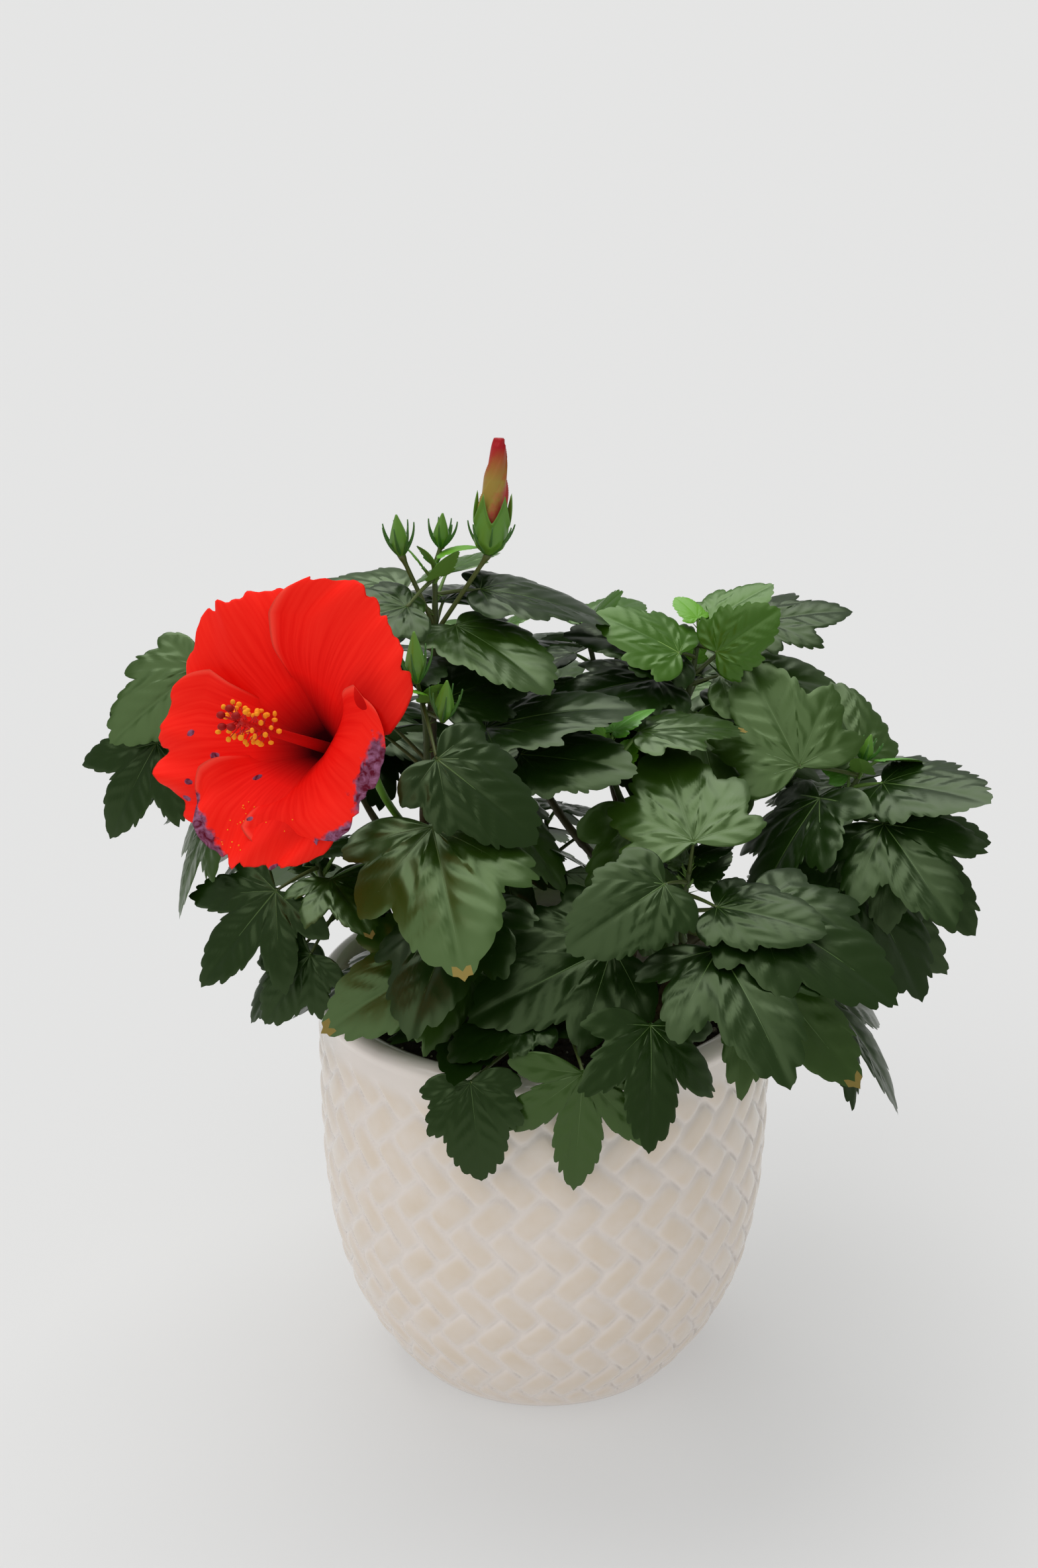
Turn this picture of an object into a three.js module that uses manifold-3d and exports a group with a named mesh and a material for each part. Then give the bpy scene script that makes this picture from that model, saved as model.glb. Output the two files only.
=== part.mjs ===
import * as THREE from "three";
import { mergeVertices } from "three/addons/utils/BufferGeometryUtils.js";
import Module from "manifold-3d";

// A red-flowered hibiscus shrub of three stems in a glazed, basket-woven pot, in millimetres.
// +Z is up and z = 0 is the pot's flat underside, whose middle is the origin. -Y is the side
// with the open bloom.

const wasm = await Module();
wasm.setup();

const GAP = 0.3; // clearance between neighbouring solids
const GOLDEN = 137.5; // degrees from one leaf to the next round a shoot

const POT = {
  height: 190,
  bodyHeight: 182, // top of the woven body, under the rolled lip
  bodyRadius: 104.2,
  tuck: 0.38, // share of the radius lost towards the foot
  roundness: 4.3, // how late that loss begins on the way down
  wall: 9,
  floor: 14,
  lipRadius: 105,
  lipInner: 91,
  segments: 36,
};
const SOIL = { level: 155, flat: 72, edge: 151 };

const STEM_SIDES = 8;
const BOUGH_SIDES = 5;
const STALK = { foot: 1.1, tip: 0.45, sides: 3 };
const LEAF = { thick: 1.9, room: 3, fold: 0.14, cup: 0.42, base: 0.03, fullness: 0.6, small: 33 };

// Each stem: start, middle and end of its centre line, then its radii at both ends.
const STEMS = {
  stem_left: [[-26, 0, 155], [-33, -2, 200], [-45, -5, 242], 4.2, 3.1],
  stem_middle: [[34, 12, 155], [41, 23, 202], [48, 34, 245], 4.0, 3.0],
  stem_right: [[48, -4, 155], [56, -7, 184], [62, -10, 212], 4.4, 3.4],
};
const FLARE = { size: 2.2, rise: 0.09 }; // root flare at a stem's foot

// Each bough: start, middle and end of its centre line, its radii at both ends, and its stem.
const BOUGHS = {
  bough_tall: [[-45, -4, 238], [-50, 4, 285], [-50, 12, 325], 2.6, 2.0, "stem_left"],
  bough_bloom: [[-43, -4, 224], [-52, -17, 256], [-53, -19, 287], 2.5, 1.9, "stem_left"],
  bough_left: [[-36, -3, 212], [-82, 6, 243], [-128, 12, 280], 2.6, 1.7, "stem_left"],
  bough_left_low: [[-33, -2, 200], [-60, -12, 210], [-87, -16, 228], 2.3, 1.6, "stem_left"],
  bough_centre: [[-30, -1, 186], [-24, -22, 208], [-22, -42, 236], 2.2, 1.6, "stem_left"],
  bough_back_left: [[-37, -3, 218], [-64, 28, 234], [-86, 58, 256], 2.3, 1.6, "stem_left"],
  bough_middle: [[48, 34, 243], [55, 39, 266], [61, 42, 289], 2.6, 1.9, "stem_middle"],
  bough_middle_back: [[46, 30, 233], [34, 48, 258], [28, 57, 287], 2.3, 1.7, "stem_middle"],
  bough_back: [[44, 27, 219], [14, 66, 234], [-6, 90, 262], 2.3, 1.6, "stem_middle"],
  bough_back_right: [[43, 25, 212], [66, 62, 222], [84, 90, 246], 2.3, 1.6, "stem_middle"],
  bough_back_low: [[38, 18, 182], [22, 56, 190], [8, 84, 204], 2.1, 1.5, "stem_middle"],
  bough_centre_low: [[37, 16, 172], [4, -18, 184], [-22, -36, 202], 2.1, 1.5, "stem_middle"],
  bough_heart: [[47, 31, 238], [44, 12, 254], [36, -4, 274], 2.2, 1.6, "stem_middle"],
  bough_right: [[62, -10, 210], [92, -2, 231], [119, 4, 256], 2.8, 1.9, "stem_right"],
  bough_front_right: [[60, -9, 204], [62, -30, 208], [60, -47, 229], 2.6, 1.9, "stem_right"],
  bough_right_low: [[57, -7, 188], [80, -13, 193], [103, -16, 207], 2.2, 1.5, "stem_right"],
  bough_front_low: [[52, -5, 172], [34, -40, 184], [12, -66, 200], 2.2, 1.5, "stem_right"],
};

// Each foliage mass is one leafy shoot on the end of a bough: how far its stem runs on from
// there, its leaves, the heading of its lowest leaf in degrees and which way they turn, the
// lengths of its youngest and oldest blades and stalks, and how far old blades lobe and hang.
const MASSES = {
  foliage_front_low: { from: "bough_front_low", run: [-6, -20, 14], leaves: 8, heading: -120, turn: 1,
    blade: [32, 54], stalk: [10, 30], lobing: 0.4, hang: 60 },
  foliage_centre_low: { from: "bough_centre_low", run: [-20, -20, 30], leaves: 8, heading: 200, turn: 1,
    blade: [24, 64], stalk: [6, 26], lobing: 0.5, hang: 20 },
  foliage_tall: { from: "bough_tall", run: [1, 3, 56], leaves: 10, heading: 255, turn: 1,
    blade: [18, 60], stalk: [5, 24], lobing: 0.2, hang: 10 },
  foliage_bloom: { from: "bough_bloom", run: [-1, -17, 53], leaves: 11, heading: -45, turn: 1,
    blade: [16, 64], stalk: [5, 24], lobing: 0.3, hang: 14 },
  foliage_left: { from: "bough_left", run: [-22, 8, 40], leaves: 10, heading: 215, turn: 1,
    blade: [24, 56], stalk: [6, 22], lobing: 0.7, hang: 50 },
  foliage_left_low: { from: "bough_left_low", run: [-14, -5, 30], leaves: 7, heading: -150, turn: 1,
    blade: [22, 48], stalk: [6, 26], lobing: 0.7, hang: 40 },
  foliage_centre: { from: "bough_centre", run: [-12, -14, 50], leaves: 11, heading: -84, turn: -1,
    blade: [24, 70], stalk: [6, 26], lobing: 0.6, hang: 42 },
  foliage_back_left: { from: "bough_back_left", run: [-26, 20, 48], leaves: 10, heading: 150, turn: 1,
    blade: [22, 66], stalk: [6, 28], lobing: 0.6, hang: 30 },
  foliage_middle: { from: "bough_middle", run: [9, 1, 54], leaves: 12, heading: 12, turn: 1,
    blade: [18, 62], stalk: [5, 24], lobing: 0.4, hang: 14 },
  foliage_middle_back: { from: "bough_middle_back", run: [-9, 3, 50], leaves: 9, heading: 180, turn: 1,
    blade: [18, 56], stalk: [5, 22], lobing: 0.4, hang: 20 },
  foliage_back: { from: "bough_back", run: [-14, 26, 54], leaves: 11, heading: 90, turn: 1,
    blade: [22, 66], stalk: [6, 28], lobing: 0.6, hang: 30 },
  foliage_back_right: { from: "bough_back_right", run: [16, 24, 44], leaves: 10, heading: 40, turn: -1,
    blade: [22, 66], stalk: [6, 28], lobing: 0.6, hang: 30 },
  foliage_back_low: { from: "bough_back_low", run: [-6, 26, 20], leaves: 9, heading: 90, turn: 1,
    blade: [26, 66], stalk: [8, 26], lobing: 0.8, hang: 52 },
  foliage_heart: { from: "bough_heart", run: [-8, -10, 34], leaves: 11, heading: -70, turn: -1,
    blade: [24, 64], stalk: [6, 24], lobing: 0.4, hang: 30 },
  foliage_right: { from: "bough_right", run: [24, 1, 34], leaves: 12, heading: -40, turn: 1,
    blade: [18, 70], stalk: [5, 26], lobing: 0.5, hang: 38 },
  foliage_front_right: { from: "bough_front_right", run: [2, -10, 41], leaves: 9, heading: -12, turn: 1,
    blade: [18, 78], stalk: [5, 34], lobing: 0.6, hang: 38 },
  foliage_right_low: { from: "bough_right_low", run: [28, 4, 20], leaves: 8, heading: -20, turn: -1,
    blade: [26, 62], stalk: [8, 26], lobing: 0.8, hang: 46 },
};

// Closed buds: the mass that carries each, how far up its stem the bud's stalk starts, foot and
// tip, widest radius, and radius at the tip.
const BUDS = [
  ["foliage_tall", 0.45, [-25, 10, 387], [-20, 15, 438], 6.6, 2.6],
  ["foliage_tall", 0.5, [-63, 12, 386], [-65, 12, 405], 4.2, 0.4],
  ["foliage_tall", 1, [-46, 18, 388], [-45, 18, 404], 3.6, 0.4],
  ["foliage_bloom", 0.95, [-55, -38, 345], [-56, -38, 368], 4.4, 0.4],
  ["foliage_bloom", 0.8, [-44, -44, 330], [-42, -46, 349], 4.2, 0.4],
  ["foliage_right", 1, [142, 5, 293], [145, 5, 306], 3.4, 0.4],
];
const BRACTS = { count: 4, length: 12, spread: 3 };

const BLOOM = {
  throat: [-89, -70, 327],
  axis: [-0.555, -0.697, 0.454],
  thick: 1.3,
  lap: 4.5, // how far a petal's edge lies over or under its neighbour
  column: 62,
  calyx: 28, // from the throat back to the calyx's foot
  bough: "bough_bloom",
  stalkStart: 0.6, // share of the bough where the bloom's stalk leaves it
  anthers: 15,
};
// Each petal: heading about the bloom's axis, length and half width, its slope off the axis in
// degrees at claw and tip, and whether either edge lies over its neighbour, 1, or under it, -1.
const PETALS = [
  [330, 87, 38, 26, 92, -1, 1],
  [44, 81, 46, 24, 82, -1, -1],
  [114, 78, 36, 24, 96, 1, -1],
  [178, 70, 37, 24, 92, 1, -1],
  [243, 61, 47, 12, 116, 1, 1],
];

// Leaves that shape the crown's front and are placed before the others: the mass that carries
// each, how far up its stem the stalk starts, where the stalk meets the blade, the blade's
// heading, pitch and roll in degrees, its length and its lobing.
const PLACED = [
  ["foliage_left", 0.9, [-152, 0, 339], -149, -28, -35, 50, 0.3],
  ["foliage_left", 0.7, [-171, -8, 307], -153, -55, -42, 48, 0.8],
  ["foliage_left_low", 0.85, [-118, -38, 249], -164, -47, -45, 55, 0.9],
  ["foliage_left_low", 0.1, [-103, -48, 223], -169, -54, -51, 39, 0.5],
  ["foliage_tall", 0.9, [-60, -10, 370], -157, -4, -17, 48, 0.1],
  ["foliage_tall", 0.75, [-29, 25, 367], 6, -7, 4, 60, 0.1],
  ["foliage_bloom", 0.9, [-46, -66, 321], -27, -28, 28, 54, 0.2],
  ["foliage_heart", 0.9, [-11, -26, 308], -24, 6, 21, 52, 0.1],
  ["foliage_centre", 0.9, [-48, -72, 293], -79, -23, 9, 76, 0.4],
  ["foliage_centre_low", 0.9, [-38, -66, 232], -154, -16, -37, 65, 0.5],
  ["foliage_front_low", 0.9, [28, -75, 239], -154, -14, -37, 68, 0.5],
  ["foliage_front_right", 0.78, [49, -84, 272], -148, -18, -35, 49, 0.1],
  ["foliage_front_right", 0.9, [62, -66, 284], 104, 28, -13, 62, 0.4],
  ["foliage_middle", 0.85, [77, 28, 337], -14, 40, 71, 34, 0.2],
  ["foliage_middle", 0.73, [60, 26, 337], 165, 27, -23, 42, 0.2],
  ["foliage_middle", 0.54, [98, 52, 343], 10, 10, 15, 44, 0.6],
  ["foliage_right", 0.9, [112, -8, 296], 120, 41, -28, 60, 0.5],
  ["foliage_right", 0.6, [154, -18, 269], -24, -45, 46, 59, 0.8],
  ["foliage_right_low", 0.9, [139, -6, 240], -10, -41, 53, 63, 1],
  ["foliage_front_right", 0.1, [89, -70, 231], -26, -43, 44, 71, 0.9],
  ["foliage_front_right", 0.63, [72, -76, 258], -21, 1, 18, 47, 0.1],
  ["foliage_front_low", 0.6, [-32, -116, 196], -73, -67, 14, 42, 0.3],
  ["foliage_front_low", 0.3, [15, -117, 201], -115, -80, -22, 54, 1],
  ["foliage_front_low", 0.05, [43, -109, 219], -88, -54, -17, 52, 0.8],
];
const PLACED_BEND = 0.16;

const COLOUR = {
  glaze: "#ded6c9",
  soil: "#2e2723",
  bark: "#7d6a50",
  green: "#5c6440",
  leaf: "#2f4a35",
  bloom: "#e3170d",
};

const v = (p) => new THREE.Vector3(p[0], p[1], p[2]);
const mix = (a, b, t) => a + (b - a) * t;
const rad = THREE.MathUtils.degToRad;

// The same run of numbers from 0 to 1 for the same seed.
function stream(seed) {
  let state = (seed * 2654435761) >>> 0;
  return () => {
    state = (Math.imul(state, 1664525) + 1013904223) >>> 0;
    return state / 4294967296;
  };
}

// Vertices and triangles, as a closed solid that faces outwards.
function solid(points, faces) {
  const vertProperties = new Float32Array(points.flatMap((p) => [p.x, p.y, p.z]));
  const made = new wasm.Manifold(
    new wasm.Mesh({ numProp: 3, vertProperties, triVerts: new Uint32Array(faces.flat()) }),
  );
  return made.volume() > 0 ? made : solid(points, faces.map(([a, b, c]) => [a, c, b]));
}

function lathe(profile) {
  const points = profile.map(([r, z]) => new THREE.Vector2(r, z));
  const geometry = new THREE.LatheGeometry(points, POT.segments);
  geometry.rotateX(Math.PI / 2);
  geometry.deleteAttribute("normal");
  geometry.deleteAttribute("uv");
  const merged = mergeVertices(geometry, 1e-3);
  return new wasm.Manifold(
    new wasm.Mesh({
      numProp: 3,
      vertProperties: merged.attributes.position.array,
      triVerts: new Uint32Array(merged.index.array),
    }),
  );
}

function meshOf(name, body, material) {
  const made = body.getMesh();
  const geometry = new THREE.BufferGeometry();
  geometry.setAttribute("position", new THREE.BufferAttribute(made.vertProperties, 3));
  geometry.setIndex(new THREE.BufferAttribute(made.triVerts, 1));
  geometry.computeVertexNormals();
  const mesh = new THREE.Mesh(geometry, material);
  mesh.name = name;
  return mesh;
}

const joined = (bodies) => bodies.reduce((all, body) => all.add(body));

function glazeMaterial() {
  return new THREE.MeshStandardMaterial({ color: COLOUR.glaze, roughness: 0.25, metalness: 0 });
}

function soilMaterial() {
  return new THREE.MeshStandardMaterial({ color: COLOUR.soil, roughness: 0.95, metalness: 0 });
}

function barkMaterial() {
  return new THREE.MeshStandardMaterial({ color: COLOUR.bark, roughness: 0.8, metalness: 0 });
}

function boughMaterial() {
  return new THREE.MeshStandardMaterial({ color: COLOUR.green, roughness: 0.7, metalness: 0 });
}

function leafMaterial() {
  return new THREE.MeshStandardMaterial({ color: COLOUR.leaf, roughness: 0.4, metalness: 0 });
}

function bloomMaterial() {
  return new THREE.MeshStandardMaterial({ color: COLOUR.bloom, roughness: 0.6, metalness: 0 });
}

// The woven body's outer radius at height z, without its relief.
function bodyRadius(z) {
  const down = 1 - Math.min(z, POT.bodyHeight) / POT.bodyHeight;
  return POT.bodyRadius * (1 - POT.tuck * down ** POT.roundness);
}

const OUTER_LEVELS = [6, 22, 42, 68, 104, 182];
const INNER_LEVELS = [170, 104, 68, 42, 14];

function potBody() {
  const outer = OUTER_LEVELS.map((z) => [bodyRadius(z), z]);
  const lip = [
    [POT.lipRadius, 185],
    [104, 188.4],
    [100, POT.height],
    [94.5, 188.6],
    [POT.lipInner, 182],
  ];
  const inner = INNER_LEVELS.map((z) => [bodyRadius(z) - POT.wall, z]);
  return lathe([[0, 0], [bodyRadius(0) - 1.5, 0], ...outer, ...lip, ...inner, [0, POT.floor]]);
}

// The soil fills the pot, level in the middle and a little lower at the wall.
function soilBody() {
  const levels = INNER_LEVELS.filter((z) => z < SOIL.level).reverse();
  const inside = (z) => bodyRadius(z) - POT.wall - GAP;
  const side = levels.map((z) => [inside(z), Math.max(z, POT.floor + GAP)]);
  const top = [[inside(SOIL.edge) - GAP, SOIL.edge], [SOIL.flat, SOIL.level], [0, SOIL.level]];
  return lathe([[0, POT.floor + GAP], ...side, ...top]);
}

// A curve through three points.
function curveThrough(start, middle, end) {
  const control = v(middle).multiplyScalar(2).sub(v(start).add(v(end)).multiplyScalar(0.5));
  return new THREE.QuadraticBezierCurve3(v(start), control, v(end));
}

const segment = (a, b) => new THREE.LineCurve3(a, b);

// The world axis that a run goes least along.
function leastAxis(run) {
  const size = [Math.abs(run.x), Math.abs(run.y), Math.abs(run.z)];
  const axis = [0, 0, 0];
  axis[size.indexOf(Math.min(...size))] = 1;
  return v(axis);
}

// Two directions square to a tangent.
function across(tangent, least) {
  const side = new THREE.Vector3().crossVectors(tangent, least).normalize();
  return [side, new THREE.Vector3().crossVectors(side, tangent)];
}

// The direction at an angle between two that are square to each other.
function around(first, second, angle) {
  return first.clone().multiplyScalar(Math.cos(angle)).addScaledVector(second, Math.sin(angle));
}

// A closed round limb along a curve, its radius given at each share of its length.
function limb(curve, radiusAt, sides, rings) {
  const least = leastAxis(curve.getPoint(1).sub(curve.getPoint(0)));
  const points = [];
  const faces = [];
  for (let ring = 0; ring <= rings; ring++) {
    const t = ring / rings;
    const [side, up] = across(curve.getTangent(t), least);
    for (let k = 0; k < sides; k++) {
      const out = around(side, up, (2 * Math.PI * k) / sides);
      points.push(curve.getPoint(t).addScaledVector(out, radiusAt(t)));
    }
  }
  for (let ring = 0; ring < rings; ring++)
    for (let k = 0; k < sides; k++) {
      const a = ring * sides + k;
      const b = ring * sides + ((k + 1) % sides);
      faces.push([a, b, b + sides], [a, b + sides, a + sides]);
    }
  const last = rings * sides;
  for (let k = 1; k < sides - 1; k++)
    faces.push([0, k + 1, k], [last, last + k, last + k + 1]);
  return solid(points, faces);
}

function stemBody(name, extra = 0) {
  const [start, middle, end, foot, tip] = STEMS[name];
  const curve = curveThrough([start[0], start[1], start[2] - 6], middle, end);
  const radiusAt = (t) => mix(foot, tip, t) + FLARE.size * Math.exp(-t / FLARE.rise) + extra;
  return limb(curve, radiusAt, STEM_SIDES, 6).trimByPlane([0, 0, 1], SOIL.level + GAP);
}

const boughCurve = (name) => curveThrough(...BOUGHS[name].slice(0, 3));

function boughBody(name, extra = 0) {
  const [, , , foot, tip] = BOUGHS[name];
  return limb(boughCurve(name), (t) => mix(foot, tip, t) + extra, BOUGH_SIDES, 3);
}

// The lobes of a blade: direction from the midrib, length as a share of the blade's, and the
// half angle that each fills. As lobing goes from 0 to 1 the side lobes grow longer and
// narrower, and the bays between them deeper.
function lobesOf(lobing) {
  return [
    [0, 1, mix(1.05, 0.55, lobing)],
    [mix(0.72, 0.82, lobing), mix(0.6, 0.84, lobing), mix(0.95, 0.5, lobing)],
    [mix(1.4, 1.62, lobing), mix(0.48, 0.6, lobing), mix(0.95, 0.6, lobing)],
  ];
}

// Radius of a blade's outline in a direction, as a share of its length.
function outline(angle, lobes) {
  const reaches = lobes.map(([at, length, half]) => {
    const off = Math.abs(Math.abs(angle) - at);
    return off < half ? length * (Math.sin(half - off) / Math.sin(half)) ** LEAF.fullness : 0;
  });
  return Math.max(LEAF.base, ...reaches);
}

// The direction in which two neighbouring lobes reach equally far.
function bay([at, length, half], [nextAt, nextLength, nextHalf]) {
  const a = length ** (1 / LEAF.fullness) / Math.sin(half);
  const b = nextLength ** (1 / LEAF.fullness) / Math.sin(nextHalf);
  const lead = nextHalf - (nextAt - at);
  return at + Math.atan2(a * Math.sin(half) - b * Math.sin(lead), a * Math.cos(half) + b * Math.cos(lead));
}

// Directions in which a coarse blade's outline is taken: lobe tips and, but for the smallest
// blades, bays and shoulders.
function outlineAngles(lobes, length) {
  const [tip, first, second] = lobes;
  const inner = bay(tip, first);
  const all = [inner * 0.5, inner, first[0], bay(first, second), second[0], second[0] + 0.55];
  const half = length < LEAF.small ? [inner, first[0], second[0]] : all;
  return [0, ...half, Math.PI, ...half.map((a) => -a).reverse()];
}

// A point of a blade, folded up along its midrib and bent down towards tip and edges.
function bladePoint(leaf, angle, share) {
  const x = share * Math.cos(angle);
  const y = share * Math.sin(angle);
  const lift = LEAF.fold * Math.abs(y) - leaf.bend * x * Math.abs(x) - LEAF.cup * y * y;
  return leaf.joint
    .clone()
    .addScaledVector(leaf.along, x * leaf.length)
    .addScaledVector(leaf.side, y * leaf.length)
    .addScaledVector(leaf.up, lift * leaf.length);
}

// The blade as a thin lens, thickest where the stalk joins it.
function bladeBody(leaf, thick) {
  const lobes = lobesOf(leaf.lobing);
  const edge = outlineAngles(lobes, leaf.length).map((a) => bladePoint(leaf, a, outline(a, lobes)));
  const top = leaf.joint.clone().addScaledVector(leaf.up, thick / 2);
  const bottom = leaf.joint.clone().addScaledVector(leaf.up, -thick / 2);
  const count = edge.length;
  const faces = [];
  for (let k = 0; k < count; k++) {
    const next = (k + 1) % count;
    faces.push([k, next, count], [next, k, count + 1]);
  }
  return solid([...edge, top, bottom], faces);
}

function stalkBody(leaf, extra = 0) {
  const radiusAt = (t) => mix(STALK.foot, STALK.tip, t) + extra;
  return limb(segment(leaf.foot, leaf.joint), radiusAt, STALK.sides, 1);
}

// A body of rotation that swells from its foot and narrows to a radius at its tip.
function budShape(foot, tip, radius, tipRadius, sides) {
  const widest = 0.36;
  const radiusAt = (t) =>
    t < widest
      ? mix(0.3 * radius, radius, Math.sin((Math.PI / 2) * (t / widest)))
      : mix(radius, tipRadius, ((t - widest) / (1 - widest)) ** 1.3);
  return limb(segment(foot, tip), radiusAt, sides, 4);
}

// Narrow bracts that stand in a ring round the foot of a calyx.
function bractBodies(foot, axis, count, radius, length, spread) {
  const [side, up] = across(axis, leastAxis(axis));
  return Array.from({ length: count }, (_, k) => {
    const out = around(side, up, (2 * Math.PI * k) / count + 0.4);
    const start = foot.clone().addScaledVector(axis, 1.2).addScaledVector(out, radius * 0.2);
    const end = foot.clone().addScaledVector(axis, length).addScaledVector(out, radius + spread);
    return limb(segment(start, end), (t) => mix(1.0, 0.3, t), 3, 1);
  });
}

// A closed bud on its own stalk, which starts inside the shoot's stem.
function budBodies([mass, share, footAt, tipAt, radius, tipRadius]) {
  const foot = v(footAt);
  const tip = v(tipAt);
  const axis = tip.clone().sub(foot).normalize();
  const origin = shootCurve(MASSES[mass]).getPoint(share * 0.98);
  const stalk = limb(segment(origin, foot.clone().addScaledVector(axis, 1)), () => 1.1, 4, 1);
  const length = Math.min(BRACTS.length, foot.distanceTo(tip) * 0.6);
  const bracts = bractBodies(foot, axis, BRACTS.count, radius, length, BRACTS.spread);
  return [budShape(foot, tip, radius, tipRadius, 5), stalk, ...bracts];
}

// The bloom's own axis, and two directions square to it, the first of them upwards.
function bloomFrame() {
  const axis = v(BLOOM.axis).normalize();
  const first = new THREE.Vector3(0, 0, 1).addScaledVector(axis, -axis.z).normalize();
  return { axis, first, second: new THREE.Vector3().crossVectors(axis, first) };
}

// A petal's surface: s runs from claw to tip and w from one edge to the other, -1 to 1.
function petalPoint([turn, length, halfWidth, claw, tip, right, left], s, w) {
  const steps = 12;
  let rise = 0;
  let reach = 2.2;
  for (let k = 0; k < steps; k++) {
    const slope = rad(mix(claw, tip, ((k + 0.5) / steps) * s));
    rise += (Math.cos(slope) * length * s) / steps;
    reach += (Math.sin(slope) * length * s) / steps;
  }
  const end = Math.sqrt(Math.max(0, 1 - ((s - 0.55) / 0.62) ** 4));
  const width = halfWidth * Math.min(1, 0.1 + 1.25 * s) * end;
  const round = Math.max(reach, halfWidth * 0.9);
  const swing = (w * width) / round;
  const edge = 1 - 0.2 * w * w * s;
  const lap = BLOOM.lap * Math.abs(w) * (w < 0 ? right : left) * Math.min(1, s * 2);
  const { axis, first, second } = bloomFrame();
  const radial = around(first, second, rad(turn));
  const tangent = new THREE.Vector3().crossVectors(axis, radial);
  return v(BLOOM.throat)
    .addScaledVector(axis, rise * edge + lap)
    .addScaledVector(radial, reach * edge - round * (1 - Math.cos(swing)) * 0.6)
    .addScaledVector(tangent, round * Math.sin(swing));
}

// A petal as a curved sheet, closed all round.
function petalBody(petal, thick) {
  const along = 4;
  const wide = 4;
  const at = (i, j) => petalPoint(petal, Math.min(0.999, i / along), (2 * j) / wide - 1);
  const normalAt = (i, j) => {
    const a = at(Math.min(i + 0.4, along), j).sub(at(Math.max(i - 0.4, 0), j));
    const b = at(i, Math.min(j + 0.4, wide)).sub(at(i, Math.max(j - 0.4, 0)));
    return a.cross(b).normalize();
  };
  const points = [];
  for (const face of [1, -1])
    for (let i = 0; i <= along; i++)
      for (let j = 0; j <= wide; j++)
        points.push(at(i, j).addScaledVector(normalAt(i, j), (face * thick) / 2));
  const row = wide + 1;
  const under = (along + 1) * row;
  const faces = [];
  const quad = (a, b, c, d) => faces.push([a, b, c], [a, c, d]);
  for (let i = 0; i < along; i++)
    for (let j = 0; j < wide; j++) {
      const a = i * row + j;
      quad(a, a + 1, a + row + 1, a + row);
      quad(under + a, under + a + row, under + a + row + 1, under + a + 1);
    }
  for (let i = 0; i < along; i++) {
    const a = i * row;
    quad(a, a + row, under + a + row, under + a);
    quad(a + wide, under + a + wide, under + a + wide + row, a + wide + row);
  }
  for (let j = 0; j < wide; j++) {
    const a = along * row + j;
    quad(j, under + j, under + j + 1, j + 1);
    quad(a, a + 1, under + a + 1, under + a);
  }
  return solid(points, faces);
}

// The column from the throat, with anthers round its outer part and five stigma pads.
function columnBodies() {
  const { axis, first, second } = bloomFrame();
  const throat = v(BLOOM.throat);
  const tip = throat.clone().addScaledVector(axis, BLOOM.column);
  const root = throat.clone().addScaledVector(axis, -4);
  const bodies = [limb(segment(root, tip), (t) => mix(2.2, 1.3, t), 6, 1)];
  for (let k = 0; k < BLOOM.anthers; k++) {
    const share = mix(0.66, 1, k / (BLOOM.anthers - 1));
    const from = throat.clone().addScaledVector(axis, BLOOM.column * share);
    const out = around(first, second, rad(GOLDEN * k)).addScaledVector(axis, 0.35);
    bodies.push(limb(segment(from, from.clone().addScaledVector(out, 9)), (t) => mix(0.5, 1.5, t), 3, 1));
  }
  for (let k = 0; k < 5; k++) {
    const from = tip.clone().addScaledVector(axis, -1);
    const out = around(first, second, rad(72 * k + 10)).add(axis);
    bodies.push(limb(segment(from, from.clone().addScaledVector(out, 6)), (t) => mix(0.5, 2, t), 4, 1));
  }
  return bodies;
}

// The open bloom with its calyx and the stalk that carries it from the bough.
function bloomBody(thick) {
  const { axis } = bloomFrame();
  const throat = v(BLOOM.throat);
  const back = throat.clone().addScaledVector(axis, -BLOOM.calyx);
  const tube = segment(back, throat.clone().addScaledVector(axis, 3));
  const root = boughCurve(BLOOM.bough).getPoint(BLOOM.stalkStart);
  const middle = root.clone().lerp(back, 0.5).add(v([-4, -7, 2]));
  const end = back.clone().addScaledVector(axis, 2);
  const stalk = curveThrough(root.toArray(), middle.toArray(), end.toArray());
  return joined([
    limb(tube, (t) => mix(5, 5.5, t), 8, 1),
    ...PETALS.map((petal) => petalBody(petal, thick)),
    ...columnBodies(),
    ...bractBodies(back, axis, 7, 4, 12, 5),
    limb(stalk, (t) => mix(1.5, 2.0, t), BOUGH_SIDES, 4),
  ]);
}

// A shoot's own stem, which runs on from the end of its bough.
function shootCurve(mass) {
  const bough = boughCurve(mass.from);
  const ahead = bough.getTangent(1);
  const start = bough.getPoint(1).addScaledVector(ahead, GAP);
  const run = v(mass.run);
  const control = start.clone().addScaledVector(ahead, run.length() * 0.5);
  return new THREE.QuadraticBezierCurve3(start, control, start.clone().add(run));
}

// A blade's own directions: along its midrib, across it and out of its upper side. Out is the
// level direction of its heading.
function facing(out, pitch, roll) {
  const up = v([0, 0, 1]);
  const flat = new THREE.Vector3().crossVectors(up, out);
  const along = around(out, up, pitch);
  const level = new THREE.Vector3().crossVectors(along, flat);
  return { along, side: around(flat, level, roll), up: around(level, flat.clone().negate(), roll) };
}

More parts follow.
